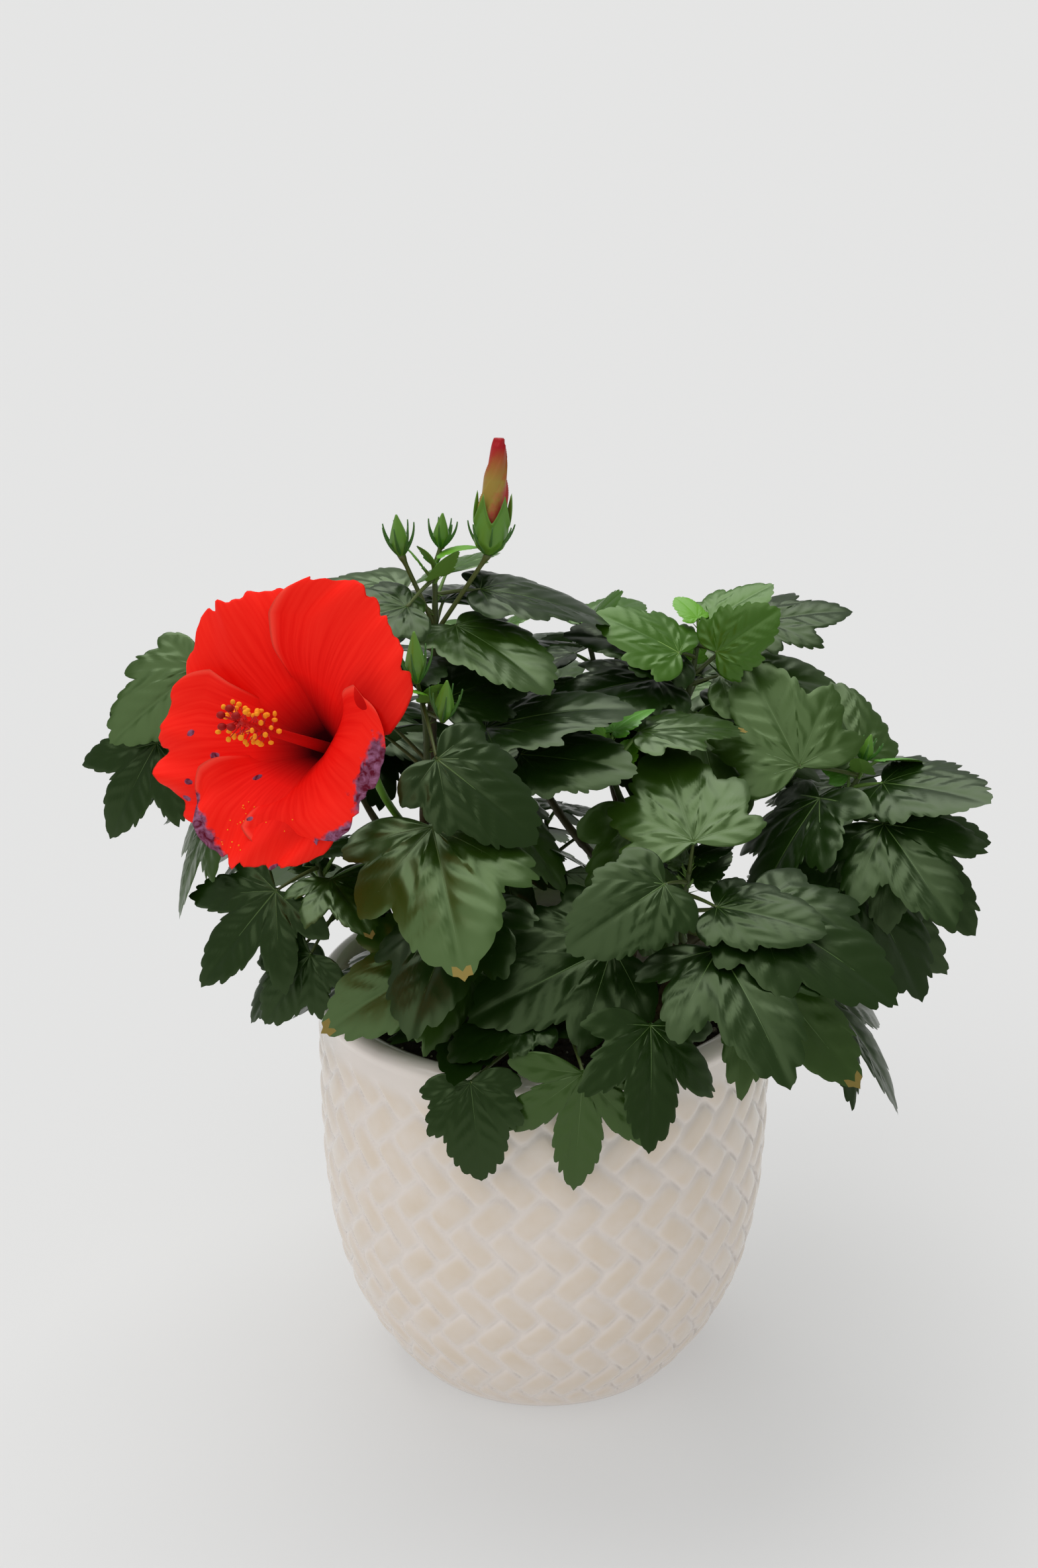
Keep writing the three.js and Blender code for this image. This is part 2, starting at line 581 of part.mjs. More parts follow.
// A leaf of a shoot: age runs from 0 at the shoot's tip to 1 at its foot.
function leafAt(mass, curve, share, heading, shake, dip, stretch) {
  const age = 1 - share;
  const t = mix(0.1, 0.98, share);
  const foot = curve.getPoint(t);
  const tangent = curve.getTangent(t);
  const out = around(v([1, 0, 0]), v([0, 1, 0]), rad(heading + 22 * (shake[0] - 0.5)));
  const radial = out.clone().addScaledVector(tangent, -out.dot(tangent)).normalize();
  const lean = rad(mix(24, 76, age ** 0.7) + 14 * (shake[1] - 0.5));
  const stalk = around(tangent, radial, lean);
  const reach = stretch * mix(mass.stalk[0], mass.stalk[1], age ** 0.8) * mix(0.8, 1.2, shake[3]);
  const pitch = rad(mix(30, -mass.hang, age ** 0.6) + 22 * (shake[4] - 0.5) + dip);
  return {
    foot,
    joint: foot.clone().addScaledVector(stalk, reach),
    ...facing(out, pitch, rad(44 * (shake[5] - 0.5))),
    length: mix(mass.blade[0], mass.blade[1], age ** 0.4) * mix(0.88, 1.12, shake[2]),
    lobing: Math.min(1, Math.max(0, mass.lobing * (0.3 + age) + 0.5 * (shake[6] - 0.5))),
    bend: mix(0.1, 0.26, shake[7]),
  };
}

function placedLeaf([mass, share, joint, heading, pitch, roll, length, lobing]) {
  const out = around(v([1, 0, 0]), v([0, 1, 0]), rad(heading));
  const foot = shootCurve(MASSES[mass]).getPoint(mix(0.1, 0.98, share));
  return { foot, joint: v(joint), ...facing(out, rad(pitch), rad(roll)), length, lobing, bend: PLACED_BEND };
}

// Solids that a new leaf keeps clear of, each with the shoot whose stem it is, if any.
const taken = [];

function take(body, owner) {
  taken.push({ body, box: body.boundingBox(), owner });
}

function boxesMeet(a, b) {
  return [0, 1, 2].every((k) => a.min[k] < b.max[k] && b.min[k] < a.max[k]);
}

function isFree(body, owner) {
  const box = body.boundingBox();
  return !taken.some(
    (other) =>
      (owner === null || other.owner !== owner) &&
      boxesMeet(box, other.box) &&
      !body.intersect(other.body).isEmpty(),
  );
}

// Turn and dip in degrees, and stretch of the stalk, that are tried in order until a leaf has
// room. It is left out when none has.
const TRIES = [[0, 0, 1], [14, 0, 1], [-14, 0, 1], [0, 14, 1], [0, -14, 1.2], [28, 10, 1.2],
  [-28, 10, 1.2], [28, -14, 1.3], [-28, -14, 1.3], [45, 0, 1.4], [-45, 0, 1.4], [0, 30, 1.4],
  [0, -30, 0.7], [60, 20, 1], [-60, 20, 1], [80, 0, 1.5], [-80, 0, 1.5]];

function shootStem(name) {
  const mass = MASSES[name];
  const foot = BOUGHS[mass.from][4];
  return limb(shootCurve(mass), (t) => mix(foot, 1.0, t), BOUGH_SIDES, 3);
}

// Keeps a leaf's space and gives its solids.
function grownLeaf(leaf, blade, stalk) {
  take(blade, null);
  take(stalk, null);
  return [bladeBody(leaf, LEAF.thick), stalkBody(leaf)];
}

function leafBodies(name, index) {
  const mass = MASSES[name];
  const random = stream(index + 11);
  const curve = shootCurve(mass);
  const bodies = [];
  for (let k = 0; k < mass.leaves; k++) {
    const shake = Array.from({ length: 8 }, random);
    const share = k / (mass.leaves - 1);
    const heading = mass.heading + mass.turn * GOLDEN * k;
    for (const [swing, dip, stretch] of TRIES) {
      const leaf = leafAt(mass, curve, share, heading + swing, shake, dip, stretch);
      const blade = bladeBody(leaf, LEAF.room);
      const stalk = stalkBody(leaf, GAP);
      if (!isFree(blade, null) || !isFree(stalk, name)) continue;
      bodies.push(...grownLeaf(leaf, blade, stalk));
      break;
    }
  }
  return bodies;
}

const group = new THREE.Group();

function place(name, body, material) {
  group.add(meshOf(name, body, material));
  take(body, null);
}

place("pot", potBody(), glazeMaterial());
place("soil", soilBody(), soilMaterial());
for (const name of Object.keys(STEMS)) place(name, stemBody(name), barkMaterial());

const placedBoughs = [];
for (const [name, bough] of Object.entries(BOUGHS)) {
  let body = boughBody(name).subtract(stemBody(bough[5], GAP));
  for (const other of placedBoughs) body = body.subtract(boughBody(other, GAP));
  const pieces = body.decompose().sort((a, b) => b.volume() - a.volume());
  placedBoughs.push(name);
  place(name, pieces[0], boughMaterial());
}

const bloom = bloomBody(BLOOM.thick).subtract(boughBody(BLOOM.bough, GAP));
group.add(meshOf("bloom", bloom, bloomMaterial()));
take(bloomBody(BLOOM.thick + LEAF.room), null);

const shoots = {};
for (const name of Object.keys(MASSES)) {
  const stem = shootStem(name);
  take(stem, name);
  shoots[name] = [stem];
}
for (const bud of BUDS) {
  const bodies = budBodies(bud);
  shoots[bud[0]].push(...bodies);
  for (const body of bodies) take(body, bud[0]);
}
for (const row of PLACED) {
  const leaf = placedLeaf(row);
  shoots[row[0]].push(...grownLeaf(leaf, bladeBody(leaf, LEAF.room), stalkBody(leaf, GAP)));
}
Object.keys(MASSES).forEach((name, index) => {
  const mass = joined([...shoots[name], ...leafBodies(name, index)]);
  group.add(meshOf(name, mass, leafMaterial()));
});

export default group;
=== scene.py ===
"""A red-flowered hibiscus shrub of three stems in a glazed, basket-woven pot.

Sizes are in millimetres until a mesh is finished. +Z is up, z = 0 is the pot's flat underside and
-Y is the side with the open bloom.
"""

import math
from types import SimpleNamespace

import bmesh
import bpy
import numpy as np
from mathutils import Matrix, Vector, noise
from mathutils.bvhtree import BVHTree


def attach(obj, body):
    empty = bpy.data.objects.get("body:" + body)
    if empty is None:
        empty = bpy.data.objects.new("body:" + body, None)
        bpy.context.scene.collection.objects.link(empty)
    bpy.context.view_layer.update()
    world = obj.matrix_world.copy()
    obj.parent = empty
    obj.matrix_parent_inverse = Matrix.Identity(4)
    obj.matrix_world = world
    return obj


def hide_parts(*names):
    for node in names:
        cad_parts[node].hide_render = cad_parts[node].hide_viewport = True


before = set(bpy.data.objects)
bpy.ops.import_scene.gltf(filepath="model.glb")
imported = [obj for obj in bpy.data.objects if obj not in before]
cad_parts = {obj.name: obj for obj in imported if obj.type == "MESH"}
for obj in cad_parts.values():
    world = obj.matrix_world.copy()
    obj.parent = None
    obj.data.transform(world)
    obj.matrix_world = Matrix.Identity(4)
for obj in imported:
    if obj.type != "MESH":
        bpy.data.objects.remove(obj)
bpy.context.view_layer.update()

MM = 0.001
GAP = 0.3  # clearance between neighbouring solids
GOLDEN = 137.5  # degrees from one leaf to the next round a shoot
UP = np.array([0.0, 0.0, 1.0])
PHASES = (0, 6.3)  # range of the waves' random phases, about a full turn

# The pot, its weave and its soil.
BODY_HEIGHT = 182  # top of the woven body, under the rolled lip
BODY_RADIUS = 104.2
TUCK = 0.38  # share of the radius lost towards the foot
ROUNDNESS = 4.3  # how late that loss begins on the way down
WALL = 9
POT_FLOOR = 14
SOIL_LEVEL = 155
SOIL_EDGE = 150  # top of its side
SOIL_SINK, SOIL_RADIUS = 4, 92  # how far its top sinks at that radius
CRUMBS, CRUMB_RADIUS = 900, 90  # how many lie on the soil, and within what radius
INNER_LEVELS = (42, 68, 104, 140)  # heights at which the inner wall is followed
# The lip's section from the body's top over the rim to the inner wall: radius and height.
LIP = [
    (104.2, 182), (105, 185.6), (103.4, 188.6), (100, 190), (96, 189.2), (92.6, 186.4), (91, 182)
]
WEAVE = SimpleNamespace(
    row=16.3,  # height of a row of strands, which lean right and left by turns
    round=34,  # strands in a row
    phase=(math.radians(-87.25), 104.5),  # angle and height of a left-leaning strand's middle
    foot=5.0,
    top=176.0,
    deep=1.7,  # from a strand's crown down to the groove
    steps=16,  # steps of the mesh over one strand
    level=1.25,  # height of one row of the mesh
)

# Each stem: start, middle and end of its centre line, then its radii at both ends.
STEMS = {
    "stem_left": [(-26, 0, 155), (-33, -2, 200), (-45, -5, 242), 4.2, 3.1],
    "stem_middle": [(34, 12, 155), (41, 23, 202), (48, 34, 245), 4.0, 3.0],
    "stem_right": [(48, -4, 155), (56, -7, 184), (62, -10, 212), 4.4, 3.4],
}
FLARE_SIZE, FLARE_RISE = 2.2, 0.09  # root flare at a stem's foot
STUB = (47, -5, 178), (45.5, -6.5, 198)  # a short cut shoot beside the right stem

# Each bough: start, middle and end of its centre line, and its radii at both ends.
BOUGHS = {
    "bough_tall": [(-45, -4, 238), (-50, 4, 285), (-50, 12, 325), 2.6, 2.0],
    "bough_bloom": [(-43, -4, 224), (-52, -17, 256), (-53, -19, 287), 2.5, 1.9],
    "bough_left": [(-36, -3, 212), (-82, 6, 243), (-128, 12, 280), 2.6, 1.7],
    "bough_left_low": [(-33, -2, 200), (-60, -12, 210), (-87, -16, 228), 2.3, 1.6],
    "bough_centre": [(-30, -1, 186), (-24, -22, 208), (-22, -42, 236), 2.2, 1.6],
    "bough_back_left": [(-37, -3, 218), (-64, 28, 234), (-86, 58, 256), 2.3, 1.6],
    "bough_middle": [(48, 34, 243), (55, 39, 266), (61, 42, 289), 2.6, 1.9],
    "bough_middle_back": [(46, 30, 233), (34, 48, 258), (28, 57, 287), 2.3, 1.7],
    "bough_back": [(44, 27, 219), (14, 66, 234), (-6, 90, 262), 2.3, 1.6],
    "bough_back_right": [(43, 25, 212), (66, 62, 222), (84, 90, 246), 2.3, 1.6],
    "bough_back_low": [(38, 18, 182), (22, 56, 190), (8, 84, 204), 2.1, 1.5],
    "bough_centre_low": [(37, 16, 172), (4, -18, 184), (-22, -36, 202), 2.1, 1.5],
    "bough_heart": [(47, 31, 238), (44, 12, 254), (36, -4, 274), 2.2, 1.6],
    "bough_right": [(62, -10, 210), (92, -2, 231), (119, 4, 256), 2.8, 1.9],
    "bough_front_right": [(60, -9, 204), (62, -30, 208), (60, -47, 229), 2.6, 1.9],
    "bough_right_low": [(57, -7, 188), (80, -13, 193), (103, -16, 207), 2.2, 1.5],
    "bough_front_low": [(52, -5, 172), (34, -40, 184), (12, -66, 200), 2.2, 1.5],
}

# Each shoot carries one foliage mass on the end of its bough: how far its stem runs on from
# there, its leaves, the heading of its lowest leaf in degrees and which way they turn, the
# lengths of its youngest and oldest blades and stalks, and how far old blades lobe and hang.
SHOOTS = {
    "front_low": [(-6, -20, 14), 8, -120, 1, (32, 54), (10, 30), 0.4, 60],
    "centre_low": [(-20, -20, 30), 8, 200, 1, (24, 64), (6, 26), 0.5, 20],
    "tall": [(1, 3, 56), 10, 255, 1, (18, 60), (5, 24), 0.2, 10],
    "bloom": [(-1, -17, 53), 11, -45, 1, (16, 64), (5, 24), 0.3, 14],
    "left": [(-22, 8, 40), 10, 215, 1, (24, 56), (6, 22), 0.7, 50],
    "left_low": [(-14, -5, 30), 7, -150, 1, (22, 48), (6, 26), 0.7, 40],
    "centre": [(-12, -14, 50), 11, -84, -1, (24, 70), (6, 26), 0.6, 42],
    "back_left": [(-26, 20, 48), 10, 150, 1, (22, 66), (6, 28), 0.6, 30],
    "middle": [(9, 1, 54), 12, 12, 1, (18, 62), (5, 24), 0.4, 14],
    "middle_back": [(-9, 3, 50), 9, 180, 1, (18, 56), (5, 22), 0.4, 20],
    "back": [(-14, 26, 54), 11, 90, 1, (22, 66), (6, 28), 0.6, 30],
    "back_right": [(16, 24, 44), 10, 40, -1, (22, 66), (6, 28), 0.6, 30],
    "back_low": [(-6, 26, 20), 9, 90, 1, (26, 66), (8, 26), 0.8, 52],
    "heart": [(-8, -10, 34), 11, -70, -1, (24, 64), (6, 24), 0.4, 30],
    "right": [(24, 1, 34), 12, -40, 1, (18, 70), (5, 26), 0.5, 38],
    "front_right": [(2, -10, 41), 9, -12, 1, (18, 78), (5, 34), 0.6, 38],
    "right_low": [(28, 4, 20), 8, -20, -1, (26, 62), (8, 26), 0.8, 46],
}
LEAF = SimpleNamespace(
    room=3.0,  # thickness of the space that a blade keeps to itself
    cup=0.42,
    fold=0.14,
    base=0.03,
    fullness=0.6,
    small=33,  # blades under this length are drawn with less detail
    rows=18,  # of the mesh, from the joint to the edge
    small_rows=9,
    under_rows=4,
    tooth=0.13,  # spacing of the margin's teeth, as a share of the blade's length
    jag=(0.02, 0.028),  # depth of the teeth of a plain and of a fully lobed blade
    thin=0.25,  # half the blade's thickness
    quilt=0.015,  # how high the blade stands between its veins
    groove=0.045,  # width of the furrow that a vein lies in
    ripple=2.2,  # height of the slow wave at the tip of a blade of 60 mm
    dry=(0.014, 0.93),  # half width round the edge of a dry tip, and where it begins
    vein_spacing=0.17,
    vein_slant=math.radians(50),
)
STALK_FOOT, STALK_TIP = 1.1, 0.45
# Low leaves are darker partly for their age and partly as painted shade from the crown above them.
LOW_LEAVES = 275  # leaves below this height are full-grown, and most take the old tone
TIP_LEAVES, AXIL_LEAVES = 5, 9  # the very small leaves of each shoot
# How a shoot holds its leaves, in degrees: how far chance turns a leaf's heading, its stalk's
# lean, its pitch and its roll, how far young and old stalks lean off the shoot, and how steeply
# the youngest blade rises.
HABIT = SimpleNamespace(heading=22, lean=14, pitch=22, roll=44, leans=(24, 76), rise=30)
# Turn and dip in degrees, and stretch of the stalk, that are tried in order until a leaf has
# room. It is left out when none has.
TRIES = [
    (0, 0, 1), (14, 0, 1), (-14, 0, 1), (0, 14, 1), (0, -14, 1.2), (28, 10, 1.2),
    (-28, 10, 1.2), (28, -14, 1.3), (-28, -14, 1.3), (45, 0, 1.4), (-45, 0, 1.4),
    (0, 30, 1.4), (0, -30, 0.7), (60, 20, 1), (-60, 20, 1), (80, 0, 1.5), (-80, 0, 1.5),
]

# Closed buds: the shoot that carries each, how far up its stem the bud's stalk starts, foot and
# tip, widest radius, and radius at the tip.
BUDS = [
    ("tall", 0.45, (-25, 10, 387), (-20, 15, 438), 6.6, 2.6),
    ("tall", 0.5, (-63, 12, 386), (-65, 12, 405), 4.2, 0.4),
    ("tall", 1, (-46, 18, 388), (-45, 18, 404), 3.6, 0.4),
    ("bloom", 0.95, (-55, -38, 345), (-56, -38, 368), 4.4, 0.4),
    ("bloom", 0.8, (-44, -44, 330), (-42, -46, 349), 4.2, 0.4),
    ("right", 1, (142, 5, 293), (145, 5, 306), 3.4, 0.4),
]
BRACT_LENGTH, BRACT_SPREAD = 12, 3
BUD_FOOT = 0.15  # share of a bud's height at which the tall one's petals begin
SEPAL = 0.5  # thickness of an open calyx

BLOOM = SimpleNamespace(
    throat=np.array([-89.0, -70.0, 327.0]),
    axis=np.array([-0.555, -0.697, 0.454]),
    lap=4.5,  # how far a petal's edge lies over or under its neighbour
    column=62,
    calyx=28,  # from the throat back to the calyx's foot
    stalk_start=0.6,  # share of the bough where the bloom's stalk leaves it
    anthers=46,
    anthers_from=0.64,  # share of the column where they begin
    anther=1.1,  # radius
    stigma=1.9,  # radius
    specks=45,  # of fallen pollen
)
PETAL = SimpleNamespace(
    columns=120,
    rows=76,
    thick=0.7,
    notches=6,
    frill=0.014,  # depth of the margin's small waves, as a share of the petal
    vein=0.02,
    wrinkle=0.7,
    ruffle=2.8,
    curl=(8.5, -3),  # how far an edge bends forward where it lies over its neighbour, and under
)
# Each petal: heading about the bloom's axis, length and half width, its slope off the axis in
# degrees at claw and tip, and whether either edge lies over its neighbour, 1, or under it, -1.
PETALS = {
    "petal_top_right": (330, 87, 38, 26, 92, -1, 1),
    "petal_top_left": (44, 81, 46, 24, 82, -1, -1),
    "petal_left": (114, 78, 36, 24, 96, 1, -1),
    "petal_bottom": (178, 70, 37, 24, 92, 1, -1),
    "petal_right": (243, 61, 47, 12, 116, 1, 1),
}

# Leaves that shape the crown's front and are placed before the others: the shoot that carries
# each, how far up its stem the stalk starts, where the stalk meets the blade, the blade's
# heading, pitch and roll in degrees, its length and its lobing.
PLACED = [
    ("left", 0.9, (-152, 0, 339), -149, -28, -35, 50, 0.3),
    ("left", 0.7, (-171, -8, 307), -153, -55, -42, 48, 0.8),
    ("left_low", 0.85, (-118, -38, 249), -164, -47, -45, 55, 0.9),
    ("left_low", 0.1, (-103, -48, 223), -169, -54, -51, 39, 0.5),
    ("tall", 0.9, (-60, -10, 370), -157, -4, -17, 48, 0.1),
    ("tall", 0.75, (-29, 25, 367), 6, -7, 4, 60, 0.1),
    ("bloom", 0.9, (-46, -66, 321), -27, -28, 28, 54, 0.2),
    ("heart", 0.9, (-11, -26, 308), -24, 6, 21, 52, 0.1),
    ("centre", 0.9, (-48, -72, 293), -79, -23, 9, 76, 0.4),
    ("centre_low", 0.9, (-38, -66, 232), -154, -16, -37, 65, 0.5),
    ("front_low", 0.9, (28, -75, 239), -154, -14, -37, 68, 0.5),
    ("front_right", 0.78, (49, -84, 272), -148, -18, -35, 49, 0.1),
    ("front_right", 0.9, (62, -66, 284), 104, 28, -13, 62, 0.4),
    ("middle", 0.85, (77, 28, 337), -14, 40, 71, 34, 0.2),
    ("middle", 0.73, (60, 26, 337), 165, 27, -23, 42, 0.2),
    ("middle", 0.54, (98, 52, 343), 10, 10, 15, 44, 0.6),
    ("right", 0.9, (112, -8, 296), 120, 41, -28, 60, 0.5),
    ("right", 0.6, (154, -18, 269), -24, -45, 46, 59, 0.8),
    ("right_low", 0.9, (139, -6, 240), -10, -41, 53, 63, 1),
    ("front_right", 0.1, (89, -70, 231), -26, -43, 44, 71, 0.9),
    ("front_right", 0.63, (72, -76, 258), -21, 1, 18, 47, 0.1),
    ("front_low", 0.6, (-32, -116, 196), -73, -67, 14, 42, 0.3),
    ("front_low", 0.3, (15, -117, 201), -115, -80, -22, 54, 1),
    ("front_low", 0.05, (43, -109, 219), -88, -54, -17, 52, 0.8),
]
PLACED_BEND = 0.16


def unit(a):
    return a / np.linalg.norm(a, axis=-1, keepdims=True)


def mix(a, b, t):
    return a + (b - a) * t


def smooth(low, high, x):
    t = np.clip((x - low) / (high - low), 0, 1)
    return t * t * (3 - 2 * t)


def around(first, second, angle):
    """The direction at an angle between two that are square to each other."""
    return first * np.cos(angle)[..., None] + second * np.sin(angle)[..., None]


def stream(seed):
    """The same run of numbers from 0 to 1 for the same seed, as in the part's source."""
    state = (seed * 2654435761) & 0xFFFFFFFF
    while True:
        state = (state * 1664525 + 1013904223) & 0xFFFFFFFF
        yield state / 4294967296


class Curve:
    """A quadratic Bezier curve, read at shares of its run from 0 to 1."""

    def __init__(self, start, control, end):
        self.ends = [np.array(p, float) for p in (start, control, end)]

    def point(self, t):
        t = np.asarray(t, float)[..., None]
        start, control, end = self.ends
        return (1 - t) ** 2 * start + 2 * t * (1 - t) * control + t * t * end

    def tangent(self, t):
        t = np.asarray(t, float)[..., None]
        start, control, end = self.ends
        return unit((1 - t) * (control - start) + t * (end - control))


def through(start, middle, end):
    start, middle, end = (np.array(p, float) for p in (start, middle, end))
    return Curve(start, 2 * middle - (start + end) / 2, end)


def straight(start, end):
    return Curve(start, (np.array(start, float) + end) / 2, end)


def shell(bm, columns, rows, place, slot=0):
    """A grid bent to shape by place(u, v), each from 0 to 1. Slot may be a function too."""
    before = len(bm.faces)
    made = bmesh.ops.create_grid(bm, x_segments=columns, y_segments=rows, size=0.5)["verts"]
    if slot:
        bm.faces.ensure_lookup_table()
        new = bm.faces[before:]
        chosen = [slot] * len(new)
        if callable(slot):
            middle = np.array([face.calc_center_median()[:2] for face in new]) + 0.5
            chosen = slot(middle[:, 0], middle[:, 1]).tolist()
        for face, index in zip(new, chosen):
            face.material_index = index
    at = np.array([vert.co[:2] for vert in made]) + 0.5
    for vert, point in zip(made, place(at[:, 0], at[:, 1]).tolist()):
        vert.co = point
    return made, at


def least_axis(run):
    """The axis that a direction runs along least."""
    return np.eye(3)[np.argmin(np.abs(run))]


def limb(bm, curve, radius_at, sides, rings, slot=0):
    """A round limb along a curve, closed at both ends. radius_at takes the share of its run and
    the angle round it."""
    least = least_axis(curve.point(1.0) - curve.point(0.0))

    def place(u, v):
        row = v * (rings + 2) - 1
        t = np.clip(row, 0, rings) / rings
        tangent = curve.tangent(t)
        side = unit(np.cross(tangent, least))
        angle = math.tau * u
        radius = np.where((row < -0.5) | (row > rings + 0.5), 0, radius_at(t, angle))
        out = around(side, np.cross(side, tangent), angle)
        return curve.point(t) + out * radius[:, None]

    shell(bm, sides, rings + 2, place, slot)


def taper(foot, tip):
    return lambda t, _: mix(foot, tip, t)


# The rule by which the shoots grow, as in the part's source.


def bough_curve(name):
    return through(*BOUGHS[name][:3])


def shoot_curve(name):
    bough = bough_curve("bough_" + name)
    ahead = bough.tangent(1.0)
    start = bough.point(1.0) + ahead * GAP
    run = np.array(SHOOTS[name][0], float)
    return Curve(start, start + ahead * (np.linalg.norm(run) * 0.5), start + run)


def lobes_of(lobing):
    """The lobes of a blade: direction from the midrib, length as a share of the blade's, and the
    half angle that each fills. As lobing goes from 0 to 1 the side lobes grow longer and
    narrower, and the bays between them deeper."""
    return [
        (0, 1, mix(1.05, 0.55, lobing)),
        (mix(0.72, 0.82, lobing), mix(0.6, 0.84, lobing), mix(0.95, 0.5, lobing)),
        (mix(1.4, 1.62, lobing), mix(0.48, 0.6, lobing), mix(0.95, 0.6, lobing)),
    ]


def outline(angle, lobes):
    """Radius of a blade's outline in a direction, as a share of its length."""
    reach = np.full(np.shape(angle), LEAF.base)
    for at, length, half in lobes:
        left = np.clip(half - np.abs(np.abs(angle) - at), 0, None)
        reach = np.maximum(reach, length * (np.sin(left) / math.sin(half)) ** LEAF.fullness)
    return reach


def bay(lobe, following):
    """The direction in which two neighbouring lobes reach equally far."""
    (at, length, half), (next_at, next_length, next_half) = lobe, following
    a = length ** (1 / LEAF.fullness) / math.sin(half)
    b = next_length ** (1 / LEAF.fullness) / math.sin(next_half)
    lead = next_half - (next_at - at)
    return at + math.atan2(
        a * math.sin(half) - b * math.sin(lead), a * math.cos(half) + b * math.cos(lead)
    )


def outline_angles(lobes, length):
    tip, first, second = lobes
    inner = bay(tip, first)
    half = [inner * 0.5, inner, first[0], bay(first, second), second[0], second[0] + 0.55]
    if length < LEAF.small:
        half = [inner, first[0], second[0]]
    return [0, *half, math.pi, *[-a for a in reversed(half)]]


def on_blade(leaf, x, y, lift=0.0):
    """Points of a blade, folded up along its midrib and bent down towards tip and edges: x along
    the midrib and y across it as shares of its length, and lift off it in millimetres."""
    x, y = np.asarray(x, float), np.asarray(y, float)
    rise = LEAF.fold * np.abs(y) - leaf.bend * x * np.abs(x) - LEAF.cup * y * y
    return (
        leaf.joint
        + leaf.along * (x * leaf.length)[..., None]
        + leaf.side * (y * leaf.length)[..., None]
        + leaf.up * (rise * leaf.length + lift)[..., None]
    )


def facing(out, pitch, roll):
    """A blade's own directions: along its midrib, across it and out of its upper side. Out is the
    level direction of its heading."""
    flat = np.cross(UP, out)
    along = out * math.cos(pitch) + UP * math.sin(pitch)
    level = np.cross(along, flat)
    side = flat * math.cos(roll) + level * math.sin(roll)
    return {"along": along, "side": side, "up": level * math.cos(roll) - flat * math.sin(roll)}


def level(heading):
    """The level direction of a heading in degrees."""
    turn = math.radians(heading)
    return np.array([math.cos(turn), math.sin(turn), 0.0])


def up_stem(share):
    """Where on a shoot's stem a share of its leafy run lies."""
    return mix(0.1, 0.98, share)


def placed_leaf(share, joint, heading, pitch, roll, length, lobing, curve):
    return SimpleNamespace(
        foot=curve.point(up_stem(share)),
        joint=np.array(joint, float),
        **facing(level(heading), math.radians(pitch), math.radians(roll)),
        length=length,
        lobing=lobing,
        bend=PLACED_BEND,
        age=0.5,
    )


def leaf_at(shoot, curve, share, heading, shake, dip, stretch):
    """A leaf of a shoot: age runs from 0 at the shoot's tip to 1 at its foot. Shake holds eight
    chances from 0 to 1, and dip lowers the blade's pitch."""
    _, _, _, _, blades, stalks, lobing, hang = shoot
    age = 1 - share
    t = up_stem(share)
    foot, tangent = curve.point(t), curve.tangent(t)
    out = level(heading + HABIT.heading * (shake[0] - 0.5))
    radial = unit(out - tangent * out.dot(tangent))
    lean = math.radians(mix(*HABIT.leans, age**0.7) + HABIT.lean * (shake[1] - 0.5))
    reach = stretch * mix(*stalks, age**0.8) * mix(0.8, 1.2, shake[3])
    rise = mix(HABIT.rise, -hang, age**0.6)
    pitch = math.radians(rise + HABIT.pitch * (shake[4] - 0.5) + dip)
    stalk = tangent * math.cos(lean) + radial * math.sin(lean)
    return SimpleNamespace(
        foot=foot,
        joint=foot + stalk * reach,
        **facing(out, pitch, math.radians(HABIT.roll * (shake[5] - 0.5))),
        length=mix(*blades, age**0.4) * mix(0.88, 1.12, shake[2]),
        lobing=min(1, max(0, lobing * (0.3 + age) + 0.5 * (shake[6] - 0.5))),
        bend=mix(0.1, 0.26, shake[7]),
        age=age,
    )


class Volume:
    """The space that a simple closed shape fills, with the shoot whose stem it is, if any."""

    def __init__(self, make, owner=None):
        bm = bmesh.new()
        make(bm)
        points = np.array([vert.co for vert in bm.verts])
        self.low, self.high = points.min(0), points.max(0)
        self.tree = BVHTree.FromBMesh(bm)
        self.owner = owner
        bm.free()

    def meets(self, other):
        apart = (self.low >= other.high).any() or (other.low >= self.high).any()
        return not apart and bool(self.tree.overlap(other.tree))


def blade_space(leaf):
    lobes = lobes_of(leaf.lobing)
    angles = np.array(outline_angles(lobes, leaf.length))
    angles = np.append(angles, angles[0])
    reach = outline(angles, lobes)

    def place(u, v):
        k = np.rint(u * (len(angles) - 1)).astype(int)
        edge = np.abs(v - 0.5) < 0.25
        share = np.where(edge, reach[k], 0)
        lift = np.where(edge, 0, np.where(v < 0.5, 0.5, -0.5) * LEAF.room)
        return on_blade(leaf, share * np.cos(angles[k]), share * np.sin(angles[k]), lift)

    return Volume(lambda bm: shell(bm, len(angles) - 1, 2, place))


def leaf_spaces(leaf):
    thin = taper(STALK_FOOT + GAP, STALK_TIP + GAP)
    line = straight(leaf.foot, leaf.joint)
    return [blade_space(leaf), Volume(lambda bm: limb(bm, line, thin, 3, 1))]


def node_space(name):
    """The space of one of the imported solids."""

    def make(bm):
        bm.from_mesh(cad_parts[name].data)
        bmesh.ops.scale(bm, vec=(1 / MM,) * 3, verts=bm.verts)

    return Volume(make)


